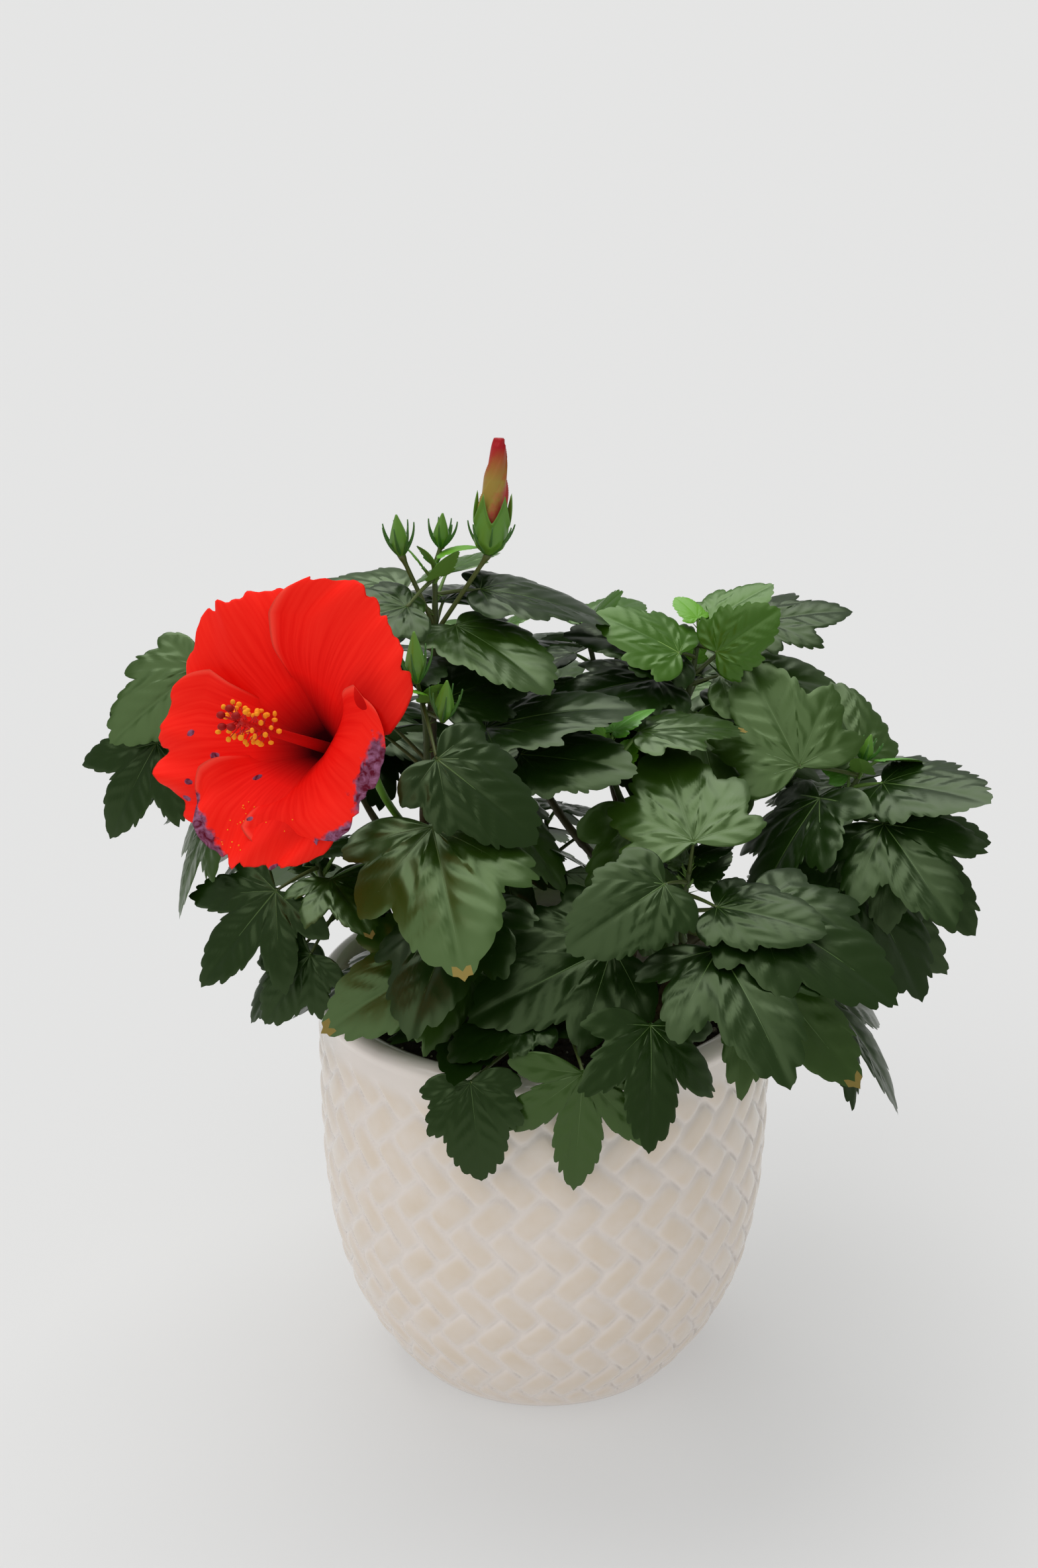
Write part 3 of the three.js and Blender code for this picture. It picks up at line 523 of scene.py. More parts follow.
def bracts(bm, foot, axis, count, radius, length, spread, sides=3, rings=1, slot=0, curl=0.0):
    """Narrow bracts that stand in a ring round the foot of a calyx."""
    side = unit(np.cross(axis, least_axis(axis)))
    for k in range(count):
        out = around(side, np.cross(side, axis), np.array(math.tau * k / count + 0.4))
        start = foot + axis * 1.2 + out * radius * 0.2
        end = foot + axis * length + out * (radius + spread)
        middle = (start + end) / 2 + (out - axis * 0.3) * curl
        limb(bm, through(start, middle, end), taper(1.0, 0.3), sides, rings, slot)


def bud_radius(radius, tip_radius):
    widest = 0.36  # share of the bud's height

    def radius_at(t, _):
        swell = mix(0.3 * radius, radius, np.sin(math.pi / 2 * np.clip(t / widest, 0, 1)))
        fall = mix(radius, tip_radius, np.clip((t - widest) / (1 - widest), 0, 1) ** 1.3)
        return np.where(t < widest, swell, fall)

    return radius_at


def bud_parts(bud):
    name, share, foot, tip, _, _ = bud
    foot, tip = np.array(foot, float), np.array(tip, float)
    axis = unit(tip - foot)
    stalk = straight(shoot_curve(name).point(share * 0.98), foot + axis)
    length = min(BRACT_LENGTH, np.linalg.norm(tip - foot) * 0.6)
    return foot, tip, axis, stalk, length


def bud_spaces(bud):
    name, _, _, _, radius, tip_radius = bud
    foot, tip, axis, stalk, length = bud_parts(bud)
    core = bud_radius(radius, tip_radius)
    return [
        Volume(lambda bm: limb(bm, straight(foot, tip), core, 5, 4), name),
        Volume(lambda bm: limb(bm, stalk, taper(1.1, 1.1), 4, 1), name),
        Volume(lambda bm: bracts(bm, foot, axis, 4, radius, length, BRACT_SPREAD), name),
    ]


def bloom_frame():
    """The bloom's own axis, and two directions square to it, the first of them upwards."""
    axis = unit(BLOOM.axis)
    first = unit(UP - axis * axis[2])
    return axis, first, np.cross(axis, first)


def petal_point(petal, s, w):
    """A petal's surface: s runs from claw to tip and w from one edge to the other, -1 to 1."""
    turn, length, half_width, claw, tip, right, left = petal
    steps = 12
    rise, reach = np.zeros_like(s), np.full_like(s, 2.2)
    for k in range(steps):
        slope = np.radians(mix(claw, tip, (k + 0.5) / steps * s))
        rise += np.cos(slope) * length * s / steps
        reach += np.sin(slope) * length * s / steps
    end = np.sqrt(np.clip(1 - ((s - 0.55) / 0.62) ** 4, 0, None))
    width = half_width * np.minimum(1, 0.1 + 1.25 * s) * end
    rounding = np.maximum(reach, half_width * 0.9)
    swing = w * width / rounding
    edge = 1 - 0.2 * w * w * s
    axis, first, second = bloom_frame()
    radial = around(first, second, np.radians(turn))
    tangent = np.cross(axis, radial)
    lap = BLOOM.lap * np.abs(w) * np.where(w < 0, right, left) * np.minimum(1, s * 2)
    along = rise * edge + lap
    outward = reach * edge - rounding * (1 - np.cos(swing)) * 0.6
    return (
        BLOOM.throat
        + axis * along[..., None]
        + radial * outward[..., None]
        + tangent * (rounding * np.sin(swing))[..., None]
    )


def petal_normal(petal, s, w, step=0.02):
    a = petal_point(petal, s + step, w) - petal_point(petal, s - step, w)
    b = petal_point(petal, s, w + step) - petal_point(petal, s, w - step)
    return unit(np.cross(a, b))


def petal_space(petal):
    thick = 1.3 + LEAF.room

    def place(u, v):
        w = np.where(u < 0.45, 1 - 4 * u / 0.9, np.where(u > 0.55, 4 * (u - 0.55) / 0.9 - 1, -1))
        w = np.clip(w, -1, 1)
        s = np.minimum(np.clip(v * 6 - 1, 0, 4) / 4, 0.999)
        closed = (v < 0.1) | (v > 0.9)
        lift = np.where(closed, 0, np.where(u < 0.5, 1, -1) * thick / 2)
        return petal_point(petal, s, w) + petal_normal(petal, s, w) * lift[:, None]

    return Volume(lambda bm: shell(bm, 10, 6, place))


def bloom_stalk():
    axis, _, _ = bloom_frame()
    back = BLOOM.throat - axis * BLOOM.calyx
    root = bough_curve("bough_bloom").point(BLOOM.stalk_start)
    return through(root, (root + back) / 2 + (-4, -7, 2), back + axis * 2)


def grow():
    """Every leaf of every shoot that has room, in the order of the part's source."""
    taken = [node_space(n) for n in ("pot", "soil", *STEMS, *BOUGHS, "bloom")]
    taken += [petal_space(petal) for petal in PETALS.values()]
    for name in SHOOTS:
        stem = taper(BOUGHS["bough_" + name][4], 1.0)
        taken.append(Volume(lambda bm: limb(bm, shoot_curve(name), stem, 5, 3), name))
    for bud in BUDS:
        taken += bud_spaces(bud)
    grown = {name: [] for name in SHOOTS}
    for name, *row in PLACED:
        leaf = placed_leaf(*row, shoot_curve(name))
        taken += leaf_spaces(leaf)
        grown[name].append(leaf)
    for index, (name, shoot) in enumerate(SHOOTS.items()):
        random = stream(index + 11)
        curve = shoot_curve(name)
        count, first, turn = shoot[1:4]
        leaves = grown[name]
        for k in range(count):
            shake = [next(random) for _ in range(8)]
            for swing, dip, stretch in TRIES:
                heading = first + turn * GOLDEN * k + swing
                leaf = leaf_at(shoot, curve, k / (count - 1), heading, shake, dip, stretch)
                blade, stalk = leaf_spaces(leaf)
                if any(blade.meets(other) for other in taken):
                    continue
                if any(stalk.meets(other) for other in taken if other.owner != name):
                    continue
                taken += [blade, stalk]
                leaves.append(leaf)
                break
        # The smallest leaves at a shoot's tip and in its upper axils, which the solids leave out.
        for k in range(TIP_LEAVES + AXIL_LEAVES):
            at_tip = k < TIP_LEAVES
            shake = [next(random) for _ in range(8)]
            heading = first + turn * GOLDEN * (count + k)
            share = 1.0 if at_tip else mix(0.5, 0.95, shake[7])
            leaf = leaf_at(shoot, curve, share, heading, shake, 28 if at_tip else 46, 0.6)
            leaf.length = mix(24, 9, k / (TIP_LEAVES - 1)) if at_tip else mix(12, 24, shake[2])
            leaf.lobing *= 0.5
            leaf.age = 0
            if not at_tip:
                leaf.joint = leaf.foot + unit(leaf.joint - leaf.foot) * mix(5, 9, shake[3])
            blade = blade_space(leaf)
            if not any(blade.meets(other) for other in taken):
                taken.append(blade)
                leaves.append(leaf)
    return grown


# Finished pieces.


def colour(code):
    """An sRGB hex colour as linear red, green, blue and alpha."""
    parts = [int(code[k : k + 2], 16) / 255 for k in (1, 3, 5)]
    return [c / 12.92 if c <= 0.04045 else ((c + 0.055) / 1.055) ** 2.4 for c in parts] + [1.0]


def material(name, base, rough, **sockets):
    """A material with one surface shader; further sockets are given with _ for a space."""
    made = bpy.data.materials.new(name)
    made.use_nodes = True
    shader = made.node_tree.nodes["Principled BSDF"]
    shader.inputs["Base Color"].default_value = colour(base)
    shader.inputs["Roughness"].default_value = rough
    for key, value in sockets.items():
        shader.inputs[key.replace("_", " ")].default_value = value
    made.diffuse_color = colour(base)
    return made


def in_scene(name, data):
    made = bpy.data.objects.new(name, data)
    bpy.context.scene.collection.objects.link(made)
    return made


def finished(name, bm, materials, slot, *nodes):
    """The object made of a bmesh in millimetres, which stands for those solids."""
    bmesh.ops.remove_doubles(bm, verts=bm.verts, dist=1e-3)
    bmesh.ops.recalc_face_normals(bm, faces=bm.faces)
    bmesh.ops.scale(bm, vec=(MM,) * 3, verts=bm.verts)
    mesh = bpy.data.meshes.new(name)
    bm.to_mesh(mesh)
    bm.free()
    mesh.polygons.foreach_set("use_smooth", [True] * len(mesh.polygons))
    for one in materials:
        mesh.materials.append(one)
    made = in_scene(name, mesh)
    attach(made, "root")
    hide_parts(*nodes)
    return made


def ball(bm, radius, slot, place, detail=2):
    """Adds a ball, which a matrix puts in its place."""
    before = len(bm.faces)
    bmesh.ops.create_icosphere(bm, subdivisions=detail, radius=radius, matrix=place)
    bm.faces.ensure_lookup_table()
    for face in bm.faces[before:]:
        face.material_index = slot


def moved(at, stretch=(1, 1, 1)):
    return Matrix.Translation(Vector(at)) @ Matrix.Diagonal((*stretch, 1))


def body_radius(z):
    down = 1 - np.minimum(z, BODY_HEIGHT) / BODY_HEIGHT
    return BODY_RADIUS * (1 - TUCK * down**ROUNDNESS)


def spun(profile, steps):
    """A closed body of rotation from (radius, height) pairs that begin and end on the axis."""
    bm = bmesh.new()
    verts = [bm.verts.new((r, 0, z)) for r, z in profile]
    edges = [bm.edges.new(pair) for pair in zip(verts, verts[1:])]
    bmesh.ops.spin(
        bm, geom=verts + edges, cent=(0, 0, 0), axis=(0, 0, 1), angle=math.tau,
        steps=steps, use_merge=True,
    )
    return bm


def rounded(points, steps):
    """Points along a smooth line through (radius, height) pairs."""
    points = np.array(points, float)
    padded = np.vstack([2 * points[0] - points[1], points, 2 * points[-1] - points[-2]])
    out = []
    for a, b, c, d in zip(padded, padded[1:], padded[2:], padded[3:]):
        for k in range(steps):
            t = k / steps
            spline = 2 * b + (c - a) * t + (2 * a - 5 * b + 4 * c - d) * t * t
            out.append((spline + (3 * b - a - 3 * c + d) * t**3) / 2)
    return [*map(tuple, out), tuple(points[-1])]


def weave(angle, z):
    """The herringbone relief at an angle and a height: how far a place stands out, and how far
    inside a strand it lies, both from 0 to 1. Each strand is a rounded pillow at 45 degrees, and
    it ends against the sides of the strands in the rows above and below."""
    width = math.tau * BODY_RADIUS / WEAVE.round / math.sqrt(2)
    length = WEAVE.row * math.sqrt(2)
    across = (angle - WEAVE.phase[0]) * BODY_RADIUS + (length + width) / math.sqrt(8)
    high = z - WEAVE.phase[1] + (width - length) / math.sqrt(8)
    across = across % (math.sqrt(2) * width)
    high = high % (math.sqrt(2) * length)
    a, b = (across - high) / math.sqrt(2), (across + high) / math.sqrt(2)
    stand, inside = np.zeros_like(z), np.zeros_like(z)
    for k in range(-3, 4):
        for m in range(-3, 3):
            x, y = a - k * width - m * length, b - k * width + m * length
            for along, side in ((x, y), (length - (y - width), x)):
                u, w = along / length, np.abs(side / width * 2 - 1)
                here = (u >= 0) & (u < 1) & (w < 1)
                off = (w**3.6 + np.abs(2 * u - 1) ** 7) ** (1 / 3.6) * 1.02
                pillow = np.clip(1 - off**2.4, 0, 1) ** 0.55 * mix(1, 0.66, smooth(0.3, 1, u))
                stand = np.where(here, pillow, stand)
                inside = np.where(here, 1 - smooth(0.55, 0.98, off), inside)
    ends = smooth(WEAVE.foot - 2, WEAVE.foot + 2, z) * (1 - smooth(WEAVE.top - 8, WEAVE.top, z))
    return mix(0.75, stand, ends), inside * ends


def pot(glaze):
    """The pot, its body pressed in between the strands of the weave."""
    outer = [(body_radius(z), z) for z in np.arange(2.5, BODY_HEIGHT, WEAVE.level)]
    heights = (170, 160, *reversed(INNER_LEVELS), POT_FLOOR + 4)
    inner = [(body_radius(z) - WALL, z) for z in heights]
    foot = body_radius(0)
    under = [(0, 0), (foot * 0.5, 0), (foot - 3, 0), (foot - 1.2, 0.5), (foot - 0.2, 1.4)]
    inside = [(inner[-1][0] - 4, POT_FLOOR), (0, POT_FLOOR)]
    profile = under + outer + rounded(LIP, 4) + inner + inside
    bm = spun(profile, WEAVE.round * WEAVE.steps)
    mesh = finished("woven_pot", bm, [glaze], "glaze", "pot").data
    at = np.empty(len(mesh.vertices) * 3, np.float32)
    mesh.vertices.foreach_get("co", at)
    at = at.reshape(-1, 3)
    z = at[:, 2] / MM
    radius = np.hypot(at[:, 0], at[:, 1]) / MM
    strand, pool = weave(np.arctan2(at[:, 1], at[:, 0]), z)
    outside = (z < BODY_HEIGHT) & (radius > body_radius(z) - WALL / 2) & (z > 2)
    drop = np.where(outside, (1 - strand) * WEAVE.deep, 0)
    drop *= smooth(2, 6, z) * (1 - smooth(WEAVE.top, WEAVE.top + 7, z))
    at[:, :2] *= (1 - drop / np.maximum(radius, 1))[:, None]
    mesh.vertices.foreach_set("co", at.ravel())
    pooled = mesh.attributes.new("pooled", "FLOAT", "POINT")
    pooled.data.foreach_set("value", np.where(outside, pool, 0).astype(np.float32))


def soil_height(radius):
    """The soil's surface, which sinks a little towards the wall."""
    return SOIL_LEVEL - SOIL_SINK * (radius / SOIL_RADIUS) ** 3


def soil(earth, grit, chip):
    """The filling with its lumpy top, and the white and brown crumbs that lie on it."""
    top = [(r, soil_height(r)) for r in np.arange(CRUMB_RADIUS, 0, -3.0)]
    side = [(body_radius(z) - WALL - GAP, z) for z in (POT_FLOOR + GAP, *INNER_LEVELS, SOIL_EDGE)]
    bm = spun([(0, POT_FLOOR + GAP), *side, *top, (0, SOIL_LEVEL)], 128)
    for vert in bm.verts:
        if vert.co.z > SOIL_EDGE + 0.5:
            lumps = noise.fractal(vert.co * 0.22, 1.0, 2.0, 3)
            vert.co.z += 1.6 * lumps * (1 - (math.hypot(*vert.co[:2]) / 95) ** 8)
    finished("potting_soil", bm, [earth], "soil", "soil")
    rng = np.random.default_rng(7)
    crumbs = bmesh.new()
    for k in range(CRUMBS):
        radius, angle = CRUMB_RADIUS * rng.random() ** 0.5, math.tau * rng.random()
        white = k % 3 == 0
        size = rng.uniform(0.5, 1.5) if white else rng.uniform(0.7, 2.2)
        squash = Matrix.Diagonal((*rng.uniform(0.6, 1.2, 3), 1))
        turn = Matrix.Rotation(PHASES[1] * rng.random(), 4, Vector(rng.normal(size=3)))
        high = soil_height(radius) + rng.uniform(-0.3, 0.8)
        place = moved((radius * math.cos(angle), radius * math.sin(angle), high))
        ball(crumbs, size, 0 if white else 1, place @ turn @ squash, 1)
    finished("perlite_and_bark_chips", crumbs, [grit, chip], "soil", "soil")


def ridges(seed, size, along, round_):
    """An uneven relief along and round a limb, as a function of share and angle."""
    rng = np.random.default_rng(seed)
    waves = []
    for _ in range(7):
        turns, slant = rng.integers(1, round_), rng.uniform(0.2, 1) * along
        waves.append((turns, slant, rng.uniform(*PHASES), rng.uniform(0.4, 1)))

    def raised(t, angle):
        total = sum(a * np.sin(n * angle + k * t + p) for n, k, p, a in waves)
        return size * total / 3

    return raised


def stems(bark):
    """The three stems, which run on a little into the soil, and the stub of a cut one."""
    bm = bmesh.new()
    for index, ((x, y, z), middle, end, foot, tip) in enumerate(STEMS.values()):
        rough = ridges(index + 1, 0.32, 60, 9)

        def radius_at(t, angle):
            near_foot = np.exp(-t / FLARE_RISE)
            toes = 1 + 0.35 * np.sin(3 * angle + index) * near_foot
            dome = np.sqrt(np.clip(1 - (np.clip(t - 0.97, 0, None) / 0.031) ** 2, 0.02, 1))
            return (mix(foot, tip, t) + FLARE_SIZE * near_foot * toes + rough(t, angle)) * dome

        limb(bm, through((x, y, z - 4), middle, end), radius_at, 40, 90)
    limb(bm, straight(*STUB), lambda t, a: 3.0 - 0.4 * t + 0.2 * np.sin(3 * a + 9 * t), 24, 24)
    finished("bark_of_stems", bm, [bark], "bark", *STEMS)


def boughs(green_bark):
    bm = bmesh.new()
    for index, (start, middle, end, foot, tip) in enumerate(BOUGHS.values()):
        rough = ridges(index + 20, 0.16, 45, 7)

        def radius_at(t, angle):
            collar = 0.9 * np.exp(-t / 0.05)
            scars = 0.45 * np.exp(-(((t * 4.5 + 0.2 * index) % 1 - 0.5) ** 2) / 0.0035)
            return mix(foot, tip, t) + collar + scars + rough(t, angle)

        limb(bm, through(start, middle, end), radius_at, 20, 48)
    finished("bark_of_boughs", bm, [green_bark], "green_bark", *BOUGHS)


class BladeLine:
    """A straight line on a blade between two places, read as a curve is."""

    def __init__(self, leaf, start, end):
        self.leaf, self.start, self.end = leaf, np.array(start, float), np.array(end, float)

    def point(self, t):
        at = mix(self.start, self.end, np.asarray(t, float)[..., None])
        return on_blade(self.leaf, at[..., 0], at[..., 1]) + self.leaf.wave(at)

    def tangent(self, t, step=0.01):
        t = np.asarray(t, float)
        return unit(self.point(np.minimum(t + step, 1)) - self.point(np.maximum(t - step, 0)))


def margin(leaf, lobes, rng):
    """Directions and radii of a blade's toothed edge, all the way round."""
    fine = np.linspace(0, math.pi, 900)
    edge = outline(fine, lobes)
    x, y = edge * np.cos(fine), edge * np.sin(fine)
    run = np.concatenate([[0], np.cumsum(np.hypot(np.diff(x), np.diff(y)))])
    teeth = max(7, round(run[-1] / LEAF.tooth))
    jag = mix(*LEAF.jag, leaf.lobing)
    stop = np.arange(4 * teeth + 1)
    fade = 1 - smooth(0.6, 0.84, np.linspace(0, 1, len(stop)))
    halves = []
    for _ in range(2):
        shifts = np.append(0, np.append(rng.uniform(-0.3, 0.3, teeth - 1), 0))
        cuts = np.arange(teeth + 1) + shifts
        stops = np.interp(stop / 4, np.arange(teeth + 1), cuts) * run[-1] / teeth
        angle = np.interp(stops, run, fine)
        size = np.repeat(rng.uniform(0.15, 1.5, teeth + 1), 4)[: len(stop)]
        shape = np.array([-0.8, 0.4, 1, 0.75])[stop % 4]
        shape[0] = 1.0
        halves.append((angle, outline(angle, lobes) + jag * size * shape * fade))
    (left_angle, left), (angle, right) = halves
    left[0] = right[0] = (left[0] + right[0]) / 2
    return np.concatenate([-left_angle[:0:-1], angle]), np.concatenate([left[:0:-1], right])


def vein_gap(leaf, x, y, lobes):
    """Distance in millimetres from a place on a blade to the nearest vein."""
    angle, radius = np.arctan2(y, x), np.hypot(x, y)
    ways = np.array([s * lobe[0] for lobe in lobes for s in (1, -1)])
    off = angle[:, None] - ways
    near = np.argmin(np.abs(off), 1)
    off = off[np.arange(len(near)), near]
    along, across = radius * np.cos(off), radius * np.sin(off)
    step = (along - np.abs(across) / math.tan(LEAF.vein_slant)) / LEAF.vein_spacing
    step = step + 0.5 * (across > 0)
    branch = np.abs(step - np.rint(step)) * LEAF.vein_spacing * math.sin(LEAF.vein_slant)
    return np.minimum(np.abs(across), branch) * leaf.length


def branch_end(start, length):
    """The end of a side vein, along the main vein that it leaves and off it."""
    return start + length * math.cos(LEAF.vein_slant), length * math.sin(LEAF.vein_slant)


def branch_length(start, way, side, half, lobes):
    """How far a side vein runs, as a share of the blade, before the edge or the next lobe."""
    length = 0.0
    while length < 0.5:
        length += 0.02
        x, y = branch_end(start, length)
        off = math.atan2(y, x)
        beyond = math.hypot(x, y) > 0.9 * float(outline(np.array(way + side * off), lobes))
        if beyond or (off > half and abs(way) < 1.3):
            break
    return length


def veins(bm, leaf, lobes, slot):
    """Thin ribs on the main veins and, on larger blades, on their branches."""
    ways = [0] + [s * lobe[0] for lobe in lobes[1:] for s in (1, -1)]
    girth = leaf.length / 60
    for way in ways:
        reach = float(outline(np.array(way), lobes)) * 0.93
        tip = (reach * math.cos(way), reach * math.sin(way))
        rib = taper((0.62 if way == 0 else 0.5) * girth, 0.16 * girth)
        limb(bm, BladeLine(leaf, (0, 0), tip), rib, 4, 8, slot)
        if leaf.length < LEAF.small:
            continue
        half = min(abs(way - other) for other in ways if other != way) / 2
        for side in (1, -1):
            for k in range(1, 9):
                start = (k - 0.5 * (side > 0)) * LEAF.vein_spacing
                if start > reach * 0.9:
                    break
                length = branch_length(start, way, side, half, lobes)
                if length < 0.08:
                    continue
                ends = []
                for x, y in ((start, 0), branch_end(start, length)):
                    angle, size = way + side * math.atan2(y, x), math.hypot(x, y)
                    ends.append((size * math.cos(angle), size * math.sin(angle)))
                limb(bm, BladeLine(leaf, *ends), taper(0.3 * girth, 0.1 * girth), 3, 3, slot)


def blade(bm, leaf, rng, slots):
    """A toothed blade, quilted between its veins. Slots are those of its upper side, its
    underside and its veins."""
    upper, lower, ribs = slots
    lobes = lobes_of(leaf.lobing)
    phase, size = rng.uniform(*PHASES), LEAF.ripple * leaf.length / 60

    def wave(at):
        """The slow ripple of a blade towards its edge."""
        x, y = at[..., 0], at[..., 1]
        ripple = np.sin(3 * np.arctan2(y, x) + phase) * np.hypot(x, y) ** 2 * size
        return leaf.up * ripple[..., None]

    leaf.wave = wave
    angles, reach = margin(leaf, lobes, rng)
    rows, under = LEAF.rows if leaf.length > LEAF.small else LEAF.small_rows, LEAF.under_rows

    def place(u, v):
        k = np.rint(u * (len(angles) - 1)).astype(int)
        row = np.rint(v * (rows + under))
        above = row <= rows
        share = np.where(above, row / rows, (rows + under - row) / under)
        x, y = share * reach[k] * np.cos(angles[k]), share * reach[k] * np.sin(angles[k])
        swell = 1 - np.exp(-((vein_gap(leaf, x, y, lobes) / (LEAF.groove * leaf.length)) ** 2))
        swell *= (1 - share**5) * leaf.length * LEAF.quilt
        lift = np.where(above, LEAF.thin + swell, -LEAF.thin) * np.where(row == rows, 0.0, 1.0)
        return on_blade(leaf, x, y, lift) + wave(np.stack([x, y], -1))

    def slot(u, v):
        row = v * (rows + under)
        dry = leaf.dry & (np.abs(u - 0.5) < LEAF.dry[0]) & (row > LEAF.dry[1] * rows)
        return np.where(dry, DRY_TIP, np.where(row < rows, upper, lower))

    verts, at = shell(bm, len(angles) - 1, rows + under, place, slot)
    rim = {vert for vert, row in zip(verts, at[:, 1] * (rows + under)) if round(row) == rows}
    for vert in rim:
        for edge in vert.link_edges:
            edge.smooth = edge.other_vert(vert) not in rim
    veins(bm, leaf, lobes, ribs)


# Slots of the leaf materials that are named here. The first five are tones, young to old.
GROWN, OLD, UNDERSIDE, UNDERSIDE_YOUNG, DRY_TIP, VEIN_YOUNG, VEIN_GROWN = range(3, 10)


def leaf_tone(leaf, pick, length):
    """The slot of a leaf's upper side: young leaves are bright, old ones two dark greens."""
    tone = int(np.searchsorted([18, 25, 42], length))
    # Low leaves get the dark old tone more often: partly their age, partly painted shade from the
    # crown above.
    low = leaf.joint[2] < LOW_LEAVES
    if low:
        tone = max(tone, GROWN)
    return OLD if tone == GROWN and pick < (0.85 if low else 0.4) else tone


def foliage(grown, leaf_materials, twig_materials):
    """The blades of each mass, and its twigs with their leaf stalks and stipules."""
    for index, (name, leaves) in enumerate(grown.items()):
        rng = np.random.default_rng(index + 100)
        bm, twigs = bmesh.new(), bmesh.new()
        for leaf in leaves:
            pick = rng.random()
            tone = leaf_tone(leaf, pick, leaf.length * rng.uniform(0.9, 1.1))
            leaf.dry = bool(tone >= GROWN and pick > 0.9)
            under = UNDERSIDE_YOUNG if tone < 2 else UNDERSIDE
            blade(bm, leaf, rng, (tone, under, VEIN_YOUNG if tone < GROWN else VEIN_GROWN))
            line = straight(leaf.foot, leaf.joint)
            line.ends[1] += UP * 0.05 * np.linalg.norm(leaf.joint - leaf.foot)
            knee = lambda t: 1 + 0.35 * np.exp(-((t - 1) ** 2) / 0.004)
            stalk = lambda t, _: mix(STALK_FOOT, 0.62, t) * knee(t)
            limb(twigs, line, stalk, 7, 8, 1 if leaf.age < 0.4 else 2)
            if leaf.age < 0.75:
                for side in (-1, 1):
                    out = unit(unit(leaf.joint - leaf.foot) + side * leaf.side * 0.7)
                    stipule = straight(leaf.foot, leaf.foot + out * rng.uniform(4, 7))
                    limb(twigs, stipule, taper(0.35, 0.06), 4, 2, 1)
        foot = BOUGHS["bough_" + name][4]
        rough = ridges(index + 50, 0.12, 40, 6)
        knots = lambda t: 0.3 * np.exp(-(((t * 8) % 1 - 0.5) ** 2) / 0.01)
        stem = lambda t, angle: mix(foot, 1.0, t) + rough(t, angle) + knots(t)
        limb(twigs, shoot_curve(name), stem, 14, 40, 0)
        finished("leaves_" + name, bm, leaf_materials, "leaf", "foliage_" + name)
        finished("twigs_" + name, twigs, twig_materials, "leaf", "foliage_" + name)


def cup(bm, foot, axis, radius_at, height_at, wall, columns, rows, slot=0):
    """A thin cup round an axis, its rim at a height that changes with the angle."""
    side = unit(np.cross(axis, least_axis(axis)))

    def place(u, v):
        angle = math.tau * u
        inward = v > 0.5
        share = np.where(inward, 2 - 2 * v, 2 * v)
        high = share * height_at(angle)
        radius = radius_at(high, share, angle) - np.where(inward & (share < 0.999), wall, 0)
        radius = np.where(share < 1e-6, 0, np.maximum(radius, 0))
        out = around(side, np.cross(side, axis), angle)
        return foot + axis * high[:, None] + out * radius[:, None]

    shell(bm, columns, rows * 2, place, slot)


def pointed(count, base):
    """Height of a rim of pointed sepals at an angle, from base to 1."""

    def height(angle):
        off = np.abs((angle * count / math.tau) % 1 - 0.5) * 2
        return base + (1 - base) * (1 - off) ** 1.3

    return height


def carry(bm, values):
    """Keeps values with the vertices, for a material to read by their names."""
    for name, each in values.items():
        layer = bm.verts.layers.float.new(name)
        for vert, value in zip(bm.verts, each):
            vert[layer] = value


def tall_bud(bud, petal):
    """The furled petals of the opening bud, twisted round each other."""
    foot, tip, axis, _, _ = bud_parts(bud)
    core = bud_radius(*bud[4:])
    seen = {}

    def radius_at(t, angle):
        fold = (2.5 * angle / math.pi + 3.4 * t) % 1
        seen["rise"], seen["turn"] = t, (angle / math.tau + 0.68 * t + 0.535) % 1
        crown = np.where(t > 0.95, 0.86 + 0.14 * np.sin(3 * angle), 1)
        return core(mix(BUD_FOOT, 1, t), angle) * (0.88 + 0.2 * fold**1.5) * crown

    bm = bmesh.new()
    limb(bm, straight(foot + axis * 6, tip), radius_at, 70, 50)
    carry(bm, seen)
    finished("furled_petals", bm, [petal], "leaf", "foliage_tall")


def open_calyx(bm, bud):
    """The deep calyx that the tall bud's petals have pushed out of."""
    foot, tip, axis, _, _ = bud_parts(bud)
    tall = np.linalg.norm(tip - foot)
    core = bud_radius(*bud[4:])
    rim = pointed(5, 0.56)

    def hold(high, share, angle):
        ribbed = core(mix(BUD_FOOT, 1, high / tall), angle) * (1.1 + 0.04 * np.cos(5 * angle))
        rounding = mix(0.3, 1, smooth(-0.05, 0.3, share))
        return (ribbed + 0.3 + 1.4 * smooth(0.75, 1, share)) * rounding

    cup(bm, foot, axis, hold, lambda angle: 28 * rim(angle + math.pi / 5), SEPAL, 80, 20)


def buds(greens):
    """The buds' ribbed calyces, bracts and stalks."""
    for name in ("tall", "bloom", "right"):
        bm = bmesh.new()
        for bud in [one for one in BUDS if one[0] == name]:
            radius, tip_radius = bud[4:]
            foot, tip, axis, stalk, length = bud_parts(bud)
            core = bud_radius(radius, tip_radius)
            limb(bm, stalk, lambda t, _: mix(1.1, 1.0, t) + 0.9 * smooth(0.86, 1, t), 10, 20, 2)
            if tip_radius > 1:
                open_calyx(bm, bud)
                stretch, spread, curl = 1.2, 4, 1.6
            else:
                ribbed = lambda t, a: core(t, a) * (0.93 + 0.13 * np.abs(np.cos(2.5 * a)) ** 3)
                limb(bm, straight(foot, tip), ribbed, 40, 30)
                stretch, spread, curl = 1.3, BRACT_SPREAD, 1.4
            bracts(bm, foot, axis, 7, radius, length * stretch, spread, 6, 8, slot=1, curl=curl)
        finished("buds_" + name, bm, greens, "leaf", "foliage_" + name)


